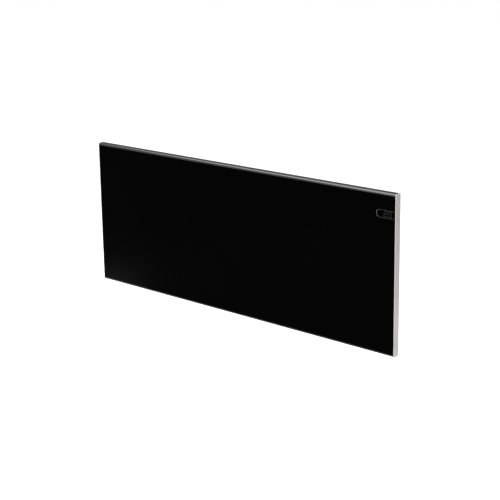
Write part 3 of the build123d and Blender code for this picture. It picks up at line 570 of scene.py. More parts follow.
@dataclass
class Skin:
    """The points and faces of a shape in the making.

    Attributes:
        points: Corner positions in metres.
        faces: Point indices of each face.
    """

    points: list[Point] = field(default_factory=list)
    faces: list[tuple[int, ...]] = field(default_factory=list)

    def add(self, points: Iterable[Sequence[float]], faces: Iterable[Sequence[int]]) -> None:
        """Adds faces that count their own points from 0.

        Args:
            points: Their corners.
            faces: The faces.
        """
        base = len(self.points)
        self.points += [tuple(point) for point in points]
        self.faces += [tuple(base + i for i in face) for face in faces]

    def bridge(self, loops: Sequence[Sequence[Point]], capped: bool = True) -> None:
        """Adds closed loops of equal length, joined one to the next.

        Args:
            loops: The loops, in order.
            capped: Whether the first and the last loop are closed with one face each.
        """
        count = len(loops[0])
        faces = []
        for first in range(0, (len(loops) - 1) * count, count):
            for step in range(count):
                a, b = first + step, first + (step + 1) % count
                faces.append((a, b, b + count, a + count))
        if capped:
            faces.append(tuple(reversed(range(count))))
            faces.append(tuple((len(loops) - 1) * count + step for step in range(count)))
        self.add([point for loop in loops for point in loop], faces)

    def draw_out(
        self,
        outlines: Sequence[Sequence[Pair]],
        stations: Sequence[float],
        place: Callable[[float, float, float], Sequence[float]],
    ) -> None:
        """Adds a bar of one section, closed at both ends but for its hollows.

        Args:
            outlines: The section's outline, and after it those of its hollows.
            stations: Where along the bar its sides are cut.
            place: Turns a station and a point of the section into a position.
        """
        for outline in outlines:
            loops = [[place(at, u, v) for u, v in outline] for at in stations]
            self.bridge(loops, capped=False)
        flat = [[Vector((u, v, 0)) for u, v in outline] for outline in outlines]
        for at in (stations[0], stations[-1]):
            corners = [place(at, u, v) for outline in outlines for u, v in outline]
            self.add(corners, tessellate_polygon(flat))

    def made(self, name: str) -> Piece:
        """Turns the shape into an object, its doubles merged and its faces outwards.

        Args:
            name: The object's name.

        Returns:
            The object, at the origin.
        """
        mesh = bpy.data.meshes.new(name)
        mesh.from_pydata(self.points, [], self.faces)
        mesh.validate()
        work = welded(mesh, OWN_WELD)
        bmesh.ops.recalc_face_normals(work, faces=work.faces)
        work.to_mesh(mesh)
        work.free()
        return linked(name, mesh)


def shade(piece: Piece, sharp_degrees: float = 32.0) -> Piece:
    """Shades a piece smooth, with its sharp edges kept crisp.

    Args:
        piece: The piece.
        sharp_degrees: Angle over which an edge is sharp.

    Returns:
        The same piece.
    """
    piece.data.polygons.foreach_set("use_smooth", [True] * len(piece.data.polygons))
    piece.data.set_sharp_from_angle(angle=math.radians(sharp_degrees))
    return piece


def soften(piece: Piece, width_mm: float, segments: int = 2, sharp_degrees: float = 40.0) -> None:
    """Rounds a piece's sharp edges a little, so that they catch the light.

    Args:
        piece: The piece.
        width_mm: Width of the rounding.
        segments: Faces across the rounding.
        sharp_degrees: Angle over which an edge is rounded.
    """
    bevel = piece.modifiers.new("edge_round", "BEVEL")
    bevel.width = width_mm * MM
    bevel.segments = segments
    bevel.limit_method = "ANGLE"
    bevel.angle_limit = math.radians(sharp_degrees)
    bevel.use_clamp_overlap = True
    bevel.harden_normals = True


def dress(piece: Piece, finish: Finish) -> Piece:
    """Gives a piece one finish.

    Args:
        piece: The piece.
        finish: The finish.

    Returns:
        The same piece.
    """
    piece.data.materials.clear()
    piece.data.materials.append(finish.build())
    return piece


def settle(piece: Piece, body: Body, replaced: Sequence[str] = ()) -> None:
    """Puts a finished piece on its body and reports it.

    Args:
        piece: The finished piece.
        body: The body that it moves with.
        replaced: CAD nodes that it stands for.
    """
    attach(piece, body.value)
    if replaced:
        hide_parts(*replaced)
    LOG.info("%s: %d faces on %s", piece.name, len(piece.data.polygons), body.value)


def welded_copy(node: str) -> Piece:
    """Copies a CAD node as a merged, smooth-shaded mesh.

    Args:
        node: The CAD node.

    Returns:
        The copy, at the origin.
    """
    mesh = frame["nodes"][node].data.copy()
    mesh.name = node + FORMED
    work = welded(mesh, CAD_WELD)
    bmesh.ops.dissolve_limit(
        work, angle_limit=math.radians(FLAT_DEGREES), use_dissolve_boundaries=False,
        verts=work.verts, edges=work.edges,
    )
    work.to_mesh(mesh)
    work.free()
    for layer in list(mesh.uv_layers):
        mesh.uv_layers.remove(layer)
    return shade(linked(mesh.name, mesh))


def island_boxes(node: str) -> list[tuple[Vector, Vector]]:
    """Finds the box of each separate solid of a CAD node.

    Args:
        node: The CAD node.

    Returns:
        Lowest and highest corner of each solid.
    """
    work = welded(frame["nodes"][node].data, CAD_WELD)
    seen: set[bmesh.types.BMVert] = set()
    boxes = []
    for start in work.verts:
        if start in seen:
            continue
        island, todo = [], [start]
        seen.add(start)
        while todo:
            corner = todo.pop()
            island.append(corner.co.copy())
            fresh = {edge.other_vert(corner) for edge in corner.link_edges} - seen
            seen |= fresh
            todo += fresh
        low = Vector(min(p[i] for p in island) for i in range(3))
        high = Vector(max(p[i] for p in island) for i in range(3))
        boxes.append((low, high))
    work.free()
    return boxes


# --------------------------------------------------------------------------------- fasteners


@dataclass(frozen=True)
class Turned:
    """One turned section of a fastener, or of the tool that cuts its recess.

    Attributes:
        label: Its name in the node tree's inputs.
        height: Its height.
        base: Radius at its foot.
        top: Radius at its top.
        sides: Corners of its outline.
    """

    label: str
    height: float
    base: float
    top: float
    sides: int = 28

    def inputs(self) -> dict[str, float]:
        """Names the values that it gives to the tree.

        Returns:
            Each input's name and value.
        """
        return {
            self.label + " Height": self.height,
            self.label + " Base Radius": self.base,
            self.label + " Top Radius": self.top,
        }

    def build(self, tree: Tree, foot: Socket | Point) -> tuple[Socket, Socket]:
        """Adds its inputs and its shape to a tree.

        Args:
            tree: The geometry node tree.
            foot: Where its foot stands.

        Returns:
            Its geometry, and where its top ends.
        """
        for label in self.inputs():
            tree.interface.new_socket(label, in_out="INPUT", socket_type="NodeSocketFloat")
        given = add_node(tree, "NodeGroupInput").outputs
        height, base, top = (given[label] for label in self.inputs())
        cone = add_node(
            tree, "GeometryNodeMeshCone", {"fill_type": "NGON"},
            {"Vertices": self.sides, "Radius Bottom": base, "Radius Top": top, "Depth": height},
        )
        placed = add_node(
            tree, "GeometryNodeTransform",
            links={"Geometry": cone.outputs["Mesh"], "Translation": foot},
        )
        rise = add_node(tree, "ShaderNodeCombineXYZ", links={"Z": height})
        end = add_node(
            tree, "ShaderNodeVectorMath", {"operation": "ADD"}, {0: foot, 1: rise.outputs[0]}
        )
        return placed.outputs[0], end.outputs[0]


@dataclass(frozen=True)
class FastenerTree:
    """A geometry node tree that puts one screw or rivet on every point.

    Attributes:
        name: The tree's name.
        shank: The shank, which ends inside the head.
        head: The head's sections from its underside up.
        recess: The tool that cuts the drive recess, or None for a rivet.
    """

    name: str
    shank: Turned
    head: Sequence[Turned]
    recess: Turned | None = None

    def build(self) -> Tree:
        """Makes the tree: shank and head, less the recess, copied to the points.

        Returns:
            The tree.
        """
        tree = bpy.data.node_groups.new(self.name, "GeometryNodeTree")
        for label, kind in (
            ("Geometry", "Geometry"), ("Shank Foot", "Vector"), ("Recess Foot", "Vector"),
            ("Turn", "Vector"), ("Material", "Material"),
        ):
            tree.interface.new_socket(label, in_out="INPUT", socket_type="NodeSocket" + kind)
        tree.interface.new_socket(
            "Geometry", in_out="OUTPUT", socket_type="NodeSocketGeometry"
        )
        given = add_node(tree, "NodeGroupInput").outputs
        parts = [self.shank.build(tree, given["Shank Foot"])[0]]
        foot = (0.0, 0.0, 0.0)
        for section in self.head:
            part, foot = section.build(tree, foot)
            parts.append(part)
        shaped = add_node(
            tree, "GeometryNodeMeshBoolean", {"operation": "UNION", "solver": "EXACT"}
        )
        for part in parts:
            tree.links.new(part, shaped.inputs[1])
        if self.recess is not None:
            tool = self.recess.build(tree, given["Recess Foot"])[0]
            shaped = add_node(
                tree, "GeometryNodeMeshBoolean", {"operation": "DIFFERENCE", "solver": "EXACT"},
                {"Mesh 1": shaped.outputs[0], "Mesh 2": tool},
            )
        aimed = add_node(
            tree, "GeometryNodeTransform",
            links={"Geometry": shaped.outputs[0], "Rotation": given["Turn"]},
        )
        placed = add_node(
            tree, "GeometryNodeInstanceOnPoints",
            links={"Points": given["Geometry"], "Instance": aimed.outputs[0]},
        )
        real = add_node(tree, "GeometryNodeRealizeInstances", links={"Geometry": placed.outputs[0]})
        dressed = add_node(
            tree, "GeometryNodeSetMaterial",
            links={"Geometry": real.outputs[0], "Material": given["Material"]},
        )
        add_node(tree, "NodeGroupOutput", links={"Geometry": dressed.outputs[0]})
        return tree


def grown(name: str, points: Sequence[Vector], tree: Tree, inputs: dict[str, object]) -> Piece:
    """Runs a geometry node tree on a set of points and keeps the plain mesh.

    Args:
        name: The piece's name.
        points: Where the copies go, in metres.
        tree: The tree.
        inputs: Values of the tree's inputs by name.

    Returns:
        A plain mesh object at the origin.
    """
    seeds = bpy.data.meshes.new(name + "_points")
    seeds.from_pydata([tuple(p) for p in points], [], [])
    seed = linked(seeds.name, seeds)
    modifier = seed.modifiers.new("copies", "NODES")
    modifier.node_group = tree
    for item in tree.interface.items_tree:
        if item.in_out == "INPUT" and item.name in inputs:
            modifier[item.identifier] = inputs[item.name]
    depsgraph = bpy.context.evaluated_depsgraph_get()
    mesh = bpy.data.meshes.new_from_object(seed.evaluated_get(depsgraph), depsgraph=depsgraph)
    seed.modifiers.remove(modifier)
    bpy.data.objects.remove(seed)
    mesh.name = name
    return shade(linked(name, mesh), sharp_degrees=40.0)


@dataclass(frozen=True)
class Fasteners:
    """A group of like screws or rivets, one on each seat found in a CAD node.

    Attributes:
        node: The CAD node that holds them.
        head_mm: Height of the head.
        shank_mm: Radius of the shank.
        recess_mm: Radius and depth of the drive recess, 0 for a rivet.
        outward: The way their heads face.
        finish: Their finish.
        body: The body that they move with.
        dome: Levels of the head, each with its height and radius in shares of the head's.
    """

    node: str
    head_mm: float = 1.9
    shank_mm: float = 1.45
    recess_mm: Pair = (1.15, 1.1)
    outward: Point = (0.0, 1.0, 0.0)
    finish: Finish = ZINC
    body: Body = Body.HEATER
    dome: Sequence[Pair] = ((0.0, 1.0), (0.55, 1.0), (0.8, 0.9), (1.0, 0.66))

    def build(self) -> None:
        """Shapes the fastener, a shank with a domed head, and places its copies."""
        way = Vector(self.outward)
        boxes = island_boxes(self.node)
        low, high = boxes[0]
        length = abs((high - low).dot(way))
        wide = max(abs(reach) for reach in (high - low).cross(way)) / 2
        head, shank = self.head_mm * MM, self.shank_mm * MM
        drive, depth = (size * MM for size in self.recess_mm)
        stem = Turned("Shank", length - head / 2, shank, shank)
        levels = [
            Turned(f"Head {count}", (end - foot) * head, base * wide, top * wide)
            for count, ((foot, base), (end, top)) in enumerate(zip(self.dome, self.dome[1:]), 1)
        ]
        recess = Turned("Recess", 2 * depth, drive, drive, sides=6) if depth else None
        tree = FastenerTree(self.node + "_tree", stem, levels, recess).build()
        inputs = {
            "Shank Foot": (0.0, 0.0, head - length),
            "Recess Foot": (0.0, 0.0, head - depth),
            "Turn": tuple(Vector((0, 0, 1)).rotation_difference(way).to_euler()),
            "Material": self.finish.build(),
        }
        for section in [stem, *levels] + ([recess] if recess else []):
            inputs |= section.inputs()
        seats = [(lo + hi) / 2 + way * (length / 2 - head) for lo, hi in boxes]
        settle(grown(self.node + FORMED, seats, tree, inputs), self.body, (self.node,))


# -------------------------------------------------------------------------------- assemblies


@dataclass(frozen=True)
class CarriedPiece:
    """A CAD piece that only gets its finish, or a softened copy of it.

    Attributes:
        node: The CAD node.
        finish: Its finish.
        edge_mm: Width of the edge rounding; 0 keeps the CAD mesh itself.
        body: The body that it moves with.
    """

    node: str
    finish: Finish
    edge_mm: float = 0.0
    body: Body = Body.HEATER

    def build(self) -> None:
        """Dresses the piece, or its softened copy."""
        if self.edge_mm == 0:
            dress(frame["nodes"][self.node], self.finish)
            LOG.info("%s: CAD mesh in %s", self.node, self.finish.name)
            return
        piece = dress(welded_copy(self.node), self.finish)
        soften(piece, self.edge_mm)
        settle(piece, self.body, (self.node,))


@dataclass(frozen=True)
class Assembly:
    """Pieces that keep their CAD shape, and the fasteners that hold them.

    Attributes:
        pieces: The pieces, each with its finish and its edge rounding.
        fasteners: The screws and rivets.
    """

    pieces: Sequence[CarriedPiece] = ()
    fasteners: Sequence[Fasteners] = ()

    def build(self) -> None:
        """Dresses the pieces and makes the fasteners."""
        for part in (*self.pieces, *self.fasteners):
            part.build()


@dataclass(frozen=True)
class FrontPanel(Assembly):
    """The black face: glass pane, two enamelled rails and two silver end trims.

    Attributes:
        arris: Ground edge of the glass.
        glass_corner: Rounding of the pane's corners.
        front_radius: Rounding of the rails' front edge.
        rear_radius: Rounding of the rails' rear edge.
        rail_height: Height of a rail without its ledges.
        wall: Wall thickness of the rails.
        glass_seat: Depth from the front face to the ledge that carries the glass.
        cover_seat: Depth of the rear cover's seat.
        trim_round: Rounding of the trims' outer edge.
        trim_plate: Thickness of the trims' plate.
        play: Gap between a tongue and the rail round it.
        tongue_corner: Rounding of the tongues' corners.
    """

    pieces: Sequence[CarriedPiece] = (CarriedPiece("glass_bond_strips", SILICONE),)
    fasteners: Sequence[Fasteners] = (Fasteners("trim_screws"),)
    arris: float = 0.5 * MM
    glass_corner: float = 1.0 * MM
    front_radius: float = 6.0 * MM
    rear_radius: float = 3.0 * MM
    rail_height: float = 14.0 * MM
    wall: float = 2.0 * MM
    glass_seat: float = 4.5 * MM
    cover_seat: float = 1.2 * MM
    trim_round: float = 1.0 * MM
    trim_plate: float = 1.5 * MM
    play: float = 0.3 * MM
    tongue_corner: float = 0.3 * MM

    def glass(self) -> None:
        """Makes the pane with its ground edges."""
        low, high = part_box("front_glass")
        front = low.y + GLASS_BACK
        loops = []
        for depth, inset in (
            (high.y, self.arris), (high.y - self.arris, 0), (front + self.arris, 0),
            (front, self.arris),
        ):
            outline = rounded_rectangle(
                (low.x + inset, low.z + inset), (high.x - inset, high.z - inset),
                [self.glass_corner] * 4, steps=4,
            )
            loops.append([(x, depth, z) for x, z in outline])
        pane = Skin()
        pane.bridge(loops)
        settle(dress(shade(pane.made("glass_pane")), BLACK_GLASS), Body.HEATER, ("front_glass",))

    def rail(self, node: str) -> None:
        """Makes one rail: a box section with its ledges, drawn with fine arcs.

        Args:
            node: top_rail or bottom_rail.
        """
        low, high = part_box(node)
        upper = high.z > 0
        side, outer = (1, high.z) if upper else (-1, low.z)
        front, rear = low.y, high.y
        glass, cover = front + self.glass_seat, rear - self.cover_seat
        wall, box, ledge = self.wall, self.rail_height, high.z - low.z
        # Sections in (y, distance inwards from the outer edge), from the lip over the top.
        lip, heel = self.front_radius, self.rear_radius
        section = arc((front + lip, lip), lip, 180, 90, steps=16)
        section += arc((rear - heel, heel), heel, 270, 90, steps=12)
        section += [
            (rear, box), (cover, box), (cover, ledge), (cover - wall, ledge), (cover - wall, box),
            (glass + wall, box), (glass + wall, ledge), (glass, ledge), (glass, lip),
        ]
        hollow = [
            (glass + wall, wall), (rear - wall, wall),
            (rear - wall, box - wall), (glass + wall, box - wall),
        ]
        bar = Skin()
        bar.draw_out(
            (section, hollow),
            (low.x, low.x / 2, 0.0, high.x / 2, high.x),
            lambda x, y, down: (x, y, outer - side * down),
        )
        finish = GLOSS_ENAMEL if upper else DULL_ENAMEL
        settle(dress(shade(bar.made(node + FORMED)), finish), Body.HEATER, (node,))

    def trim(self, node: str) -> None:
        """Makes one end trim: a rounded plate with a tongue into each rail.

        Args:
            node: left_end_trim or right_end_trim.
        """
        low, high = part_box(node)
        side, outer, tip = (1, high.x, low.x) if high.x > 0 else (-1, low.x, high.x)
        plate = outer - side * self.trim_plate
        radii = (self.front_radius, self.rear_radius, self.rear_radius, self.front_radius)
        edge = arc((self.trim_round, self.trim_round), self.trim_round, 180, 90, steps=10)
        loops = []
        levels = [(0.0, plate)] + [(inset, outer - side * down) for inset, down in edge]
        for inset, x in levels:
            outline = rounded_rectangle(
                (low.y + inset, low.z + inset), (high.y - inset, high.z - inset),
                [radius - inset for radius in radii], steps=14,
            )
            loops.append([(x, y, z) for y, z in outline])
        shape = Skin()
        shape.bridge(loops)
        inset = self.wall + self.play
        for foot in (high.z - self.rail_height, low.z):
            tongue = rounded_rectangle(
                (low.y + self.glass_seat + inset, foot + inset),
                (high.y - inset, foot + self.rail_height - inset),
                [self.tongue_corner] * 4, steps=3,
            )
            shape.draw_out((tongue,), (plate, tip), lambda x, y, z: (x, y, z))
        settle(dress(shade(shape.made(node + FORMED)), SILVER_LACQUER), Body.HEATER, (node,))

    def build(self) -> None:
        """Builds the pane, the rails and the trims, and what holds them."""
        self.glass()
        for node in ("top_rail", "bottom_rail"):
            self.rail(node)
        for node in ("left_end_trim", "right_end_trim"):
            self.trim(node)
        super().build()


@dataclass(frozen=True)
class ControlMarks:
    """The printed outline round the touch control and the two digits seen in it.

    Attributes:
        from_top: The outline's middle below the panel's top edge.
        from_end: The outline's round end from the panel's right end.
        stop: The outline's open end from the panel's right end.
        radius: Radius of its round end, to the line's middle.
        line: Width of the line.
        digits_from_end: The first digit's left side from the panel's right end.
        digit_width: Width of a digit between the middles of its bars.
        digit_height: Height of a digit, likewise.
        digit_pitch: From one digit to the next.
        bar: Width of a digit's bar.
        bar_gap: How far a bar's tip stops short of where two bars meet.
        ink: Thickness of the print.
        lit: The digits.
        segments: The bars that each digit lights, by their usual letters.
    """

    from_top: float = 51.4 * MM
    from_end: float = 53.7 * MM
    stop: float = 3.0 * MM
    radius: float = 9.3 * MM
    line: float = 1.1 * MM
    digits_from_end: float = 33.0 * MM
    digit_width: float = 7.8 * MM
    digit_height: float = 13.0 * MM
    digit_pitch: float = 12.2 * MM
    bar: float = 1.6 * MM
    bar_gap: float = 0.22 * MM
    ink: float = 0.045 * MM
    lit: str = "20"
    segments: dict[str, str] = field(default_factory=lambda: {"2": "abged", "0": "abcdef"})

    def outline(self, face: float, middle: float) -> None:
        """Draws the open pill outline as a thin raised film.

        Args:
            face: Depth of the glass face.
            middle: Height of the outline's middle.
        """
        left, right = CAD_HIGH[0] - self.from_end, CAD_HIGH[0] - self.stop
        path = [
            (right, middle + self.radius),
            *arc((left + self.radius, middle), self.radius, 90, 180, steps=40),
            (right, middle - self.radius),
        ]
        loops = []
        for index, (x, z) in enumerate(path):
            before, after = path[max(index - 1, 0)], path[min(index + 1, len(path) - 1)]
            along = Vector((after[0] - before[0], after[1] - before[1])).normalized()
            across = Vector((-along.y, along.x)) * self.line / 2
            loops.append([
                (x + way * across.x, y, z + way * across.y)
                for way, y in ((1, face), (-1, face), (-1, face - self.ink), (1, face - self.ink))
            ])
        film = Skin()
        film.bridge(loops)
        settle(dress(film.made("control_outline"), RING_INK), Body.HEATER)

    def number(self, face: float, middle: float) -> None:
        """Draws the digits from straight bars with pointed ends.

        Args:
            face: Depth of the glass face.
            middle: Height of the digits' middle.
        """
        wide, half = self.digit_width, self.digit_height / 2
        bars = {
            "a": ((0, half), (wide, half)), "g": ((0, 0), (wide, 0)),
            "d": ((0, -half), (wide, -half)), "f": ((0, 0), (0, half)),
            "b": ((wide, 0), (wide, half)), "e": ((0, -half), (0, 0)),
            "c": ((wide, -half), (wide, 0)),
        }
        film = Skin()
        for place, digit in enumerate(self.lit):
            left = CAD_HIGH[0] - self.digits_from_end + place * self.digit_pitch
            for key in self.segments[digit]:
                start, end = (Vector((left + x, middle + z)) for x, z in bars[key])
                along = (end - start).normalized()
                slope = along * self.bar / 2
                across = Vector((-slope.y, slope.x))
                start, end = start + along * self.bar_gap, end - along * self.bar_gap
                hexagon = (
                    start, start + slope - across, end - slope - across,
                    end, end - slope + across, start + slope + across,
                )
                film.draw_out((hexagon,), (face, face - self.ink), lambda y, x, z: (x, y, z))
        settle(dress(film.made("control_digits"), DIGIT_GREY), Body.HEATER)

    def build(self) -> None:
        """Draws the outline and the digits on the glass face."""
        place = (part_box("front_glass")[0].y + GLASS_BACK, CAD_HIGH[2] - self.from_top)
        self.outline(*place)
        self.number(*place)


@dataclass(frozen=True)
class HeatingStack(Assembly):
    """What lies between glass and cover: mica, foil element, reflector and insulation."""

    pieces: Sequence[CarriedPiece] = (
        CarriedPiece("element_carrier", MICA),
        CarriedPiece("element_cover", MICA),
        CarriedPiece("heat_barrier", MICA),
        CarriedPiece("heating_element", RESISTANCE_FOIL),
        CarriedPiece("reflector_sheet", ROLLED_ALUMINIUM),
        CarriedPiece("insulation_board", MINERAL_FIBRE, 0.8),
        CarriedPiece("element_lugs", BRASS, 0.1),
        CarriedPiece("thermal_cutouts", STEATITE, 0.3),
        CarriedPiece("temperature_sensor", STEATITE, 0.3),
    )


@dataclass(frozen=True)
class DisplayUnit(Assembly):
    """The touch display behind the glass, its board, posts, screws and ribbon."""

    pieces: Sequence[CarriedPiece] = (
        CarriedPiece("touch_foil", SENSOR_FILM),
        CarriedPiece("digit_module", SENSOR_FILM, 0.2),
        CarriedPiece("display_board", GREEN_BOARD, 0.15),
        CarriedPiece("display_posts", ZINC, 0.15),
        CarriedPiece("display_ribbon", RIBBON_PVC, 0.1),
        CarriedPiece("ribbon_plug", NATURAL_NYLON, 0.3),
    )
    fasteners: Sequence[Fasteners] = (Fasteners("display_screws"),)


@dataclass(frozen=True)
class RearShell(Assembly):
    """The rear cover, its screws, the two hangers and their rivets."""

    pieces: Sequence[CarriedPiece] = (
        CarriedPiece("rear_cover", DARK_POWDER, 0.25),
        CarriedPiece("left_hanger", DARK_POWDER, 0.5),
        CarriedPiece("right_hanger", DARK_POWDER, 0.5),
    )
    fasteners: Sequence[Fasteners] = (
        Fasteners("rear_cover_screws"),
        Fasteners("hanger_rivets", head_mm=1.0, shank_mm=1.9, recess_mm=(0.0, 0.0)),
    )


@dataclass(frozen=True)
class ControlBox(Assembly):
    """The supply box low on the right of the back, with its switch and electrical parts."""

    pieces: Sequence[CarriedPiece] = (
        CarriedPiece("control_box", SPARKED_ABS, 0.4),
        CarriedPiece("cable_gland", SPARKED_ABS, 0.3),
        CarriedPiece("gland_nut", SPARKED_ABS, 0.3),
        CarriedPiece("lead_grommet", RUBBER, 0.3),
        CarriedPiece("switch_body", SPARKED_ABS, 0.3),
        CarriedPiece("power_board", GREEN_BOARD, 0.15),
        CarriedPiece("board_standoffs", NATURAL_NYLON, 0.2),
        CarriedPiece("relay", NATURAL_NYLON, 0.6),
        CarriedPiece("power_supply", SPARKED_ABS, 0.6),
        CarriedPiece("terminal_block", GREEN_PBT, 0.25),
        CarriedPiece("fuse_holder", NATURAL_NYLON, 0.2),
        CarriedPiece("fuse", FUSE_GLASS, 0.3),
        CarriedPiece("earth_stud", BRASS, 0.2),
        CarriedPiece("earth_nut", BRASS, 0.2),
        CarriedPiece("switch_spades", BRASS, 0.1),
        CarriedPiece("element_leads", RED_SLEEVE),
        CarriedPiece("lead_connector", NATURAL_NYLON, 0.4),
        CarriedPiece("power_rocker", POLISHED_NYLON, 0.35, Body.ROCKER),
    )
    fasteners: Sequence[Fasteners] = (
        Fasteners("control_box_screws", head_mm=2.2),
        Fasteners("board_screws", recess_mm=(1.0, 1.0)),
    )


@dataclass(frozen=True)
class WallBracket(Assembly):
    """The wall bracket: two hooked uprights on two straps."""

    pieces: Sequence[CarriedPiece] = (
        CarriedPiece("left_upright", TEXTURED_POWDER, 0.4, Body.WALL),
        CarriedPiece("right_upright", TEXTURED_POWDER, 0.4, Body.WALL),
        CarriedPiece("upper_strap", TEXTURED_POWDER, 0.4, Body.WALL),
        CarriedPiece("lower_strap", TEXTURED_POWDER, 0.4, Body.WALL),
        CarriedPiece("strap_rivets", ZINC, 0.15, Body.WALL),
    )


@dataclass(frozen=True)
class RockerMarks:
    """The plain on and off marks printed on the rocker's two sloping faces.

    Attributes:
        joint: The joint that gives the rocker's pivot and its travel.
        length: Length of the rocker.
        crown: How far its ends stand out from the pivot.
        dish: How much lower its middle is.
        size: Height of a mark.
        line: Width of its line.
        ink: Thickness of the print.
    """

    joint: str = "power_switch"
    length: float = 21.0 * MM
    crown: float = 4.2 * MM
    dish: float = 2.0 * MM
    size: float = 4.4 * MM
    line: float = 0.55 * MM
    ink: float = 0.03 * MM

    def corner(self, out: float, up: float) -> Vector:
        """Finds a corner of the rocker at rest, where it leans by half its travel.

        Args:
            out: Distance of the corner from the pivot plane before it leans.
            up: Its height over the pivot before it leans.

        Returns:
            Its place in the rocker's middle plane.
        """
        hinge = next(joint for joint in frame["joints"] if joint["name"] == self.joint)
        lean = Matrix.Rotation(math.radians(-hinge["range_deg"][1] / 2), 3, "Y")
        return Vector(hinge["pos_m"]) + lean @ Vector((out, 0, up))

    def printed(self, name: str, end: float, outlines: Sequence[Sequence[Pair]]) -> None:
        """Prints one mark in the middle of a sloping face.

        Args:
            name: The mark's name.
            end: Height of the face's far end over the pivot, before the rocker leans.
            outlines: The mark's outline, across and along the face, and that of its opening.
        """
        crease, tip = self.corner(self.crown - self.dish, 0), self.corner(self.crown, end)
        spot = (crease + tip) / 2
        along = (tip - crease).normalized()
        across = Vector((0, 1, 0))
        out = across.cross(along) * math.copysign(1, end)
        mark = Skin()
        mark.draw_out(
            outlines, (0.0, self.ink), lambda lift, u, v: spot + across * u + along * v + out * lift
        )
        settle(dress(mark.made(name), WHITE_INK), Body.ROCKER)

    def build(self) -> None:
        """Prints the ring on the upper face and the stroke on the lower one."""
        half, edge = self.size / 2, self.line / 2
        rings = [
            arc((0, 0), radius, 0, 360, steps=40)[:-1] for radius in (half, half - self.line)
        ]
        stroke = [(-edge, -half), (edge, -half), (edge, half), (-edge, half)]
        self.printed("rocker_off_mark", self.length / 2, rings)
        self.printed("rocker_on_mark", -self.length / 2, [stroke])


# ------------------------------------------------------------------------------------ studio


def shows_background(tree: Tree) -> Socket:
    """Tells the rays that show the background from those that only light the object.

    Args:
        tree: The material's or the world's tree.

    Returns:
        1 for camera, glossy and transmission rays, 0 for the rest.
    """
    rays = add_node(tree, "ShaderNodeLightPath").outputs
    shown = rays["Is Camera Ray"]
    for kind in ("Is Glossy Ray", "Is Transmission Ray"):
        shown = add_node(
            tree, "ShaderNodeMath", {"operation": "MAXIMUM"}, {0: shown, 1: rays[kind]}
        ).outputs[0]
    return shown


@dataclass(frozen=True)
class SoftBox:
    """A soft rectangular lamp.

    Attributes:
        name: Its name.
        place: Its position.
        aim: The point it faces.
        size: Width and height.
        watts: Its power.
    """

    name: str
    place: Point
    aim: Point
    size: Pair
    watts: float

    def build(self) -> None:
        """Hangs it in its place."""
        light = bpy.data.lights.new(self.name, "AREA")
        light.shape = "RECTANGLE"
        light.size, light.size_y = self.size
        light.energy = self.watts
        facing = (Vector(self.aim) - Vector(self.place)).to_track_quat("-Z", "Y")
        turned = facing.to_matrix().to_4x4()
        linked(self.name, light).matrix_world = Matrix.Translation(self.place) @ turned


@dataclass(frozen=True)
class PhotoCamera:
    """The camera at the photograph's viewing angle.

    Attributes:
        film_mm: Width of the film.
        focal_mm: Focal length on that film.
        shift: Fall of the lens, as the photograph's upright edges hardly converge.
        azimuth: Turn to the right, degrees.
        elevation: Height angle, degrees.
        roll: Roll, degrees.
        distance: Distance to the target.
        target: The point looked at.
        reach: Distance up to which it sees.
    """

    film_mm: float = 36.0
    focal_mm: float = 88.152
    shift: float = -0.15
    azimuth: float = 40.467
    elevation: float = 13.048
    roll: float = -0.804
    distance: float = 3.0975
    target: Point = (0.05924, -0.060, 0.18477)
    reach: float = 50.0

    def build(self) -> None:
        """Places the camera and makes it the scene's."""
        turn, rise, roll = (math.radians(a) for a in (self.azimuth, self.elevation, self.roll))
        back = Vector(
            (math.sin(turn) * math.cos(rise), -math.cos(turn) * math.cos(rise), math.sin(rise))
        )
        right = (-back).cross(Vector((0, 0, 1))).normalized()
        up = right.cross(-back)
        axes = (
            math.cos(roll) * right + math.sin(roll) * up,
            -math.sin(roll) * right + math.cos(roll) * up,
            back,
        )
        lens = bpy.data.cameras.new("camera")
        lens.sensor_width = self.film_mm
        lens.lens = self.focal_mm
        lens.shift_y = self.shift
        lens.clip_end = self.reach
        holder = linked("camera", lens)
        place = Vector(self.target) + back * self.distance
        holder.matrix_world = Matrix.Translation(place) @ Matrix(axes).transposed().to_4x4()
        bpy.context.scene.camera = holder
        LOG.info("camera at %s", tuple(place))


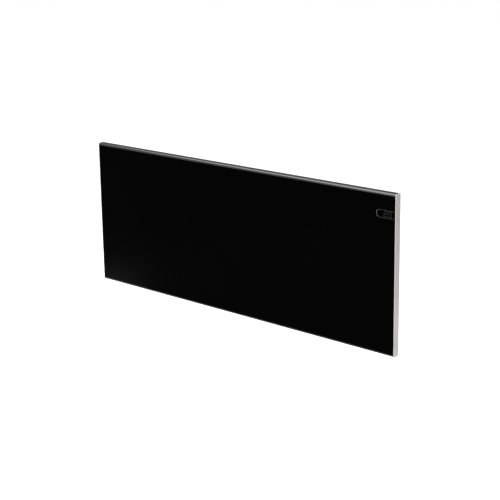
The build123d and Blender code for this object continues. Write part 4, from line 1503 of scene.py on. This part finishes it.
@dataclass(frozen=True)
class Studio:
    """Floor, world and lamps.

    Attributes:
        floor_drop: Height of the panel's middle above the floor.
        floor_half: Half the floor's width.
        floor_tone: The floor's colour, sRGB hex.
        glow_from: Distances on the floor at which its white begins and is full.
        glow: Strength of that white before and after.
        sky: Strength of the white round the object, as light, level and high up.
        sky_rise: Upward share of the direction from which on it counts as high up.
        flag_way: Direction of the middle of the black flag.
        flag_edge: Degrees from there at which its full dark ends, and at which it is gone.
        flag_hold: Share of the light that it holds back.
        lamps: The soft boxes.
    """

    floor_drop: float = 1.1
    floor_half: float = 14.0
    floor_tone: str = "e6e5e4"
    glow_from: Pair = (1.2, 3.2)
    glow: Pair = (0.3, 0.66)
    sky: Pair = (0.2, 0.75)
    sky_rise: float = 0.7
    flag_way: Point = (-0.626, 0.746, 0.225)
    flag_edge: Pair = (12.0, 50.0)
    flag_hold: float = 0.74
    lamps: Sequence[SoftBox] = (
        SoftBox("overhead_box", (-0.9, -0.4, 2.2), (-0.85, -0.38, 0.0), (2.2, 2.8), 100.0),
        SoftBox("right_box", (2.5, -1.25, 0.35), (0.4, 0.0, 0.0), (1.2, 2.2), 10.0),
        SoftBox("left_low_box", (-2.15, -1.25, -0.93), (-0.5, 0.0, -0.2), (0.7, 0.2), 9.0),
        SoftBox("left_front_box", (-0.5, -1.35, 1.25), (0.4, 0.0, 0.2), (0.6, 0.6), 5.0),
        SoftBox("front_box", (0.1, -3.0, 1.2), (0.3, 0.0, 0.0), (0.8, 0.8), 130.0),
        SoftBox("rear_box", (0.2, 2.8, 1.3), (0.0, 0.0, 0.0), (1.6, 1.2), 55.0),
    )

    def floor(self) -> None:
        """Lays the pale floor: white further off where it is seen, with the object's shadow."""
        half = self.floor_half
        corners = [(x, y, -self.floor_drop) for x, y in ((-half, -half), (half, -half))]
        corners += [(-x, -y, z) for x, y, z in corners]
        slab = Skin(corners, [(0, 1, 2, 3)]).made("studio_floor")
        material = bpy.data.materials.new("pale_floor")
        tree = fresh_tree(material)
        place = add_node(tree, "ShaderNodeTexCoord").outputs["Object"]
        away = add_node(tree, "ShaderNodeVectorMath", {"operation": "LENGTH"}, {0: place})
        growing = add_node(
            tree, "ShaderNodeMapRange", {"interpolation_type": "SMOOTHSTEP"},
            {
                "Value": away.outputs["Value"],
                "From Min": self.glow_from[0], "From Max": self.glow_from[1],
                "To Min": self.glow[0], "To Max": self.glow[1],
            },
        )
        lifted = add_node(
            tree, "ShaderNodeMath", {"operation": "MULTIPLY"},
            {0: shows_background(tree), 1: growing.outputs[0]},
        )
        plain = add_node(tree, "ShaderNodeBsdfDiffuse", links={"Color": linear(self.floor_tone)})
        white = add_node(
            tree, "ShaderNodeEmission",
            links={"Color": linear("ffffff"), "Strength": lifted.outputs[0]},
        )
        both = add_node(
            tree, "ShaderNodeAddShader", links={0: plain.outputs[0], 1: white.outputs[0]}
        )
        add_node(tree, "ShaderNodeOutputMaterial", links={"Surface": both.outputs[0]})
        slab.data.materials.append(material)
        slab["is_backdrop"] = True

    def world(self) -> None:
        """Surrounds the scene with white: plain where it is seen, dimmer as light.

        A soft black flag hangs behind the panel, opposite the camera. Only reflections see
        it, and it draws the dark line along the top of the upper rail.
        """
        world = bpy.data.worlds.new("studio")
        bpy.context.scene.world = world
        tree = fresh_tree(world)
        way = add_node(tree, "ShaderNodeTexCoord").outputs["Generated"]
        height = add_node(tree, "ShaderNodeSeparateXYZ", links={"Vector": way})
        rising = add_node(
            tree, "ShaderNodeMapRange",
            links={
                "Value": height.outputs["Z"], "From Max": self.sky_rise,
                "To Min": self.sky[0], "To Max": self.sky[1],
            },
        )
        level = add_node(
            tree, "ShaderNodeMapRange",
            links={"Value": shows_background(tree), "To Min": rising.outputs[0], "To Max": 1.0},
        )
        facing = add_node(
            tree, "ShaderNodeVectorMath", {"operation": "DOT_PRODUCT"}, {0: way, 1: self.flag_way}
        )
        full, gone = (math.cos(math.radians(angle)) for angle in self.flag_edge)
        covered = add_node(
            tree, "ShaderNodeMapRange", {"interpolation_type": "SMOOTHSTEP"},
            {
                "Value": facing.outputs["Value"],
                "From Min": gone, "From Max": full, "To Max": self.flag_hold,
            },
        )
        glossy = add_node(tree, "ShaderNodeLightPath").outputs["Is Glossy Ray"]
        held = add_node(
            tree, "ShaderNodeMath", {"operation": "MULTIPLY"}, {0: glossy, 1: covered.outputs[0]}
        )
        strength = add_node(
            tree, "ShaderNodeMapRange",
            links={"Value": held.outputs[0], "To Min": level.outputs[0], "To Max": 0.0},
        )
        sky = add_node(
            tree, "ShaderNodeBackground",
            links={"Color": linear("ffffff"), "Strength": strength.outputs[0]},
        )
        add_node(tree, "ShaderNodeOutputWorld", links={"Surface": sky.outputs[0]})

    def build(self) -> None:
        """Sets up the whole studio."""
        self.floor()
        self.world()
        for lamp in self.lamps:
            lamp.build()
        bpy.context.scene.view_settings.view_transform = "Standard"
        LOG.info("studio: floor, world and %d soft boxes", len(self.lamps))


def main() -> None:
    """Builds the studio and every assembly in order."""
    logging.basicConfig(level=logging.INFO, format="%(message)s", force=True)
    for part in (
        PhotoCamera(), Studio(), FrontPanel(), ControlMarks(), HeatingStack(), DisplayUnit(),
        RearShell(), ControlBox(), RockerMarks(), WallBracket(),
    ):
        part.build()


if __name__ == "__main__":
    main()
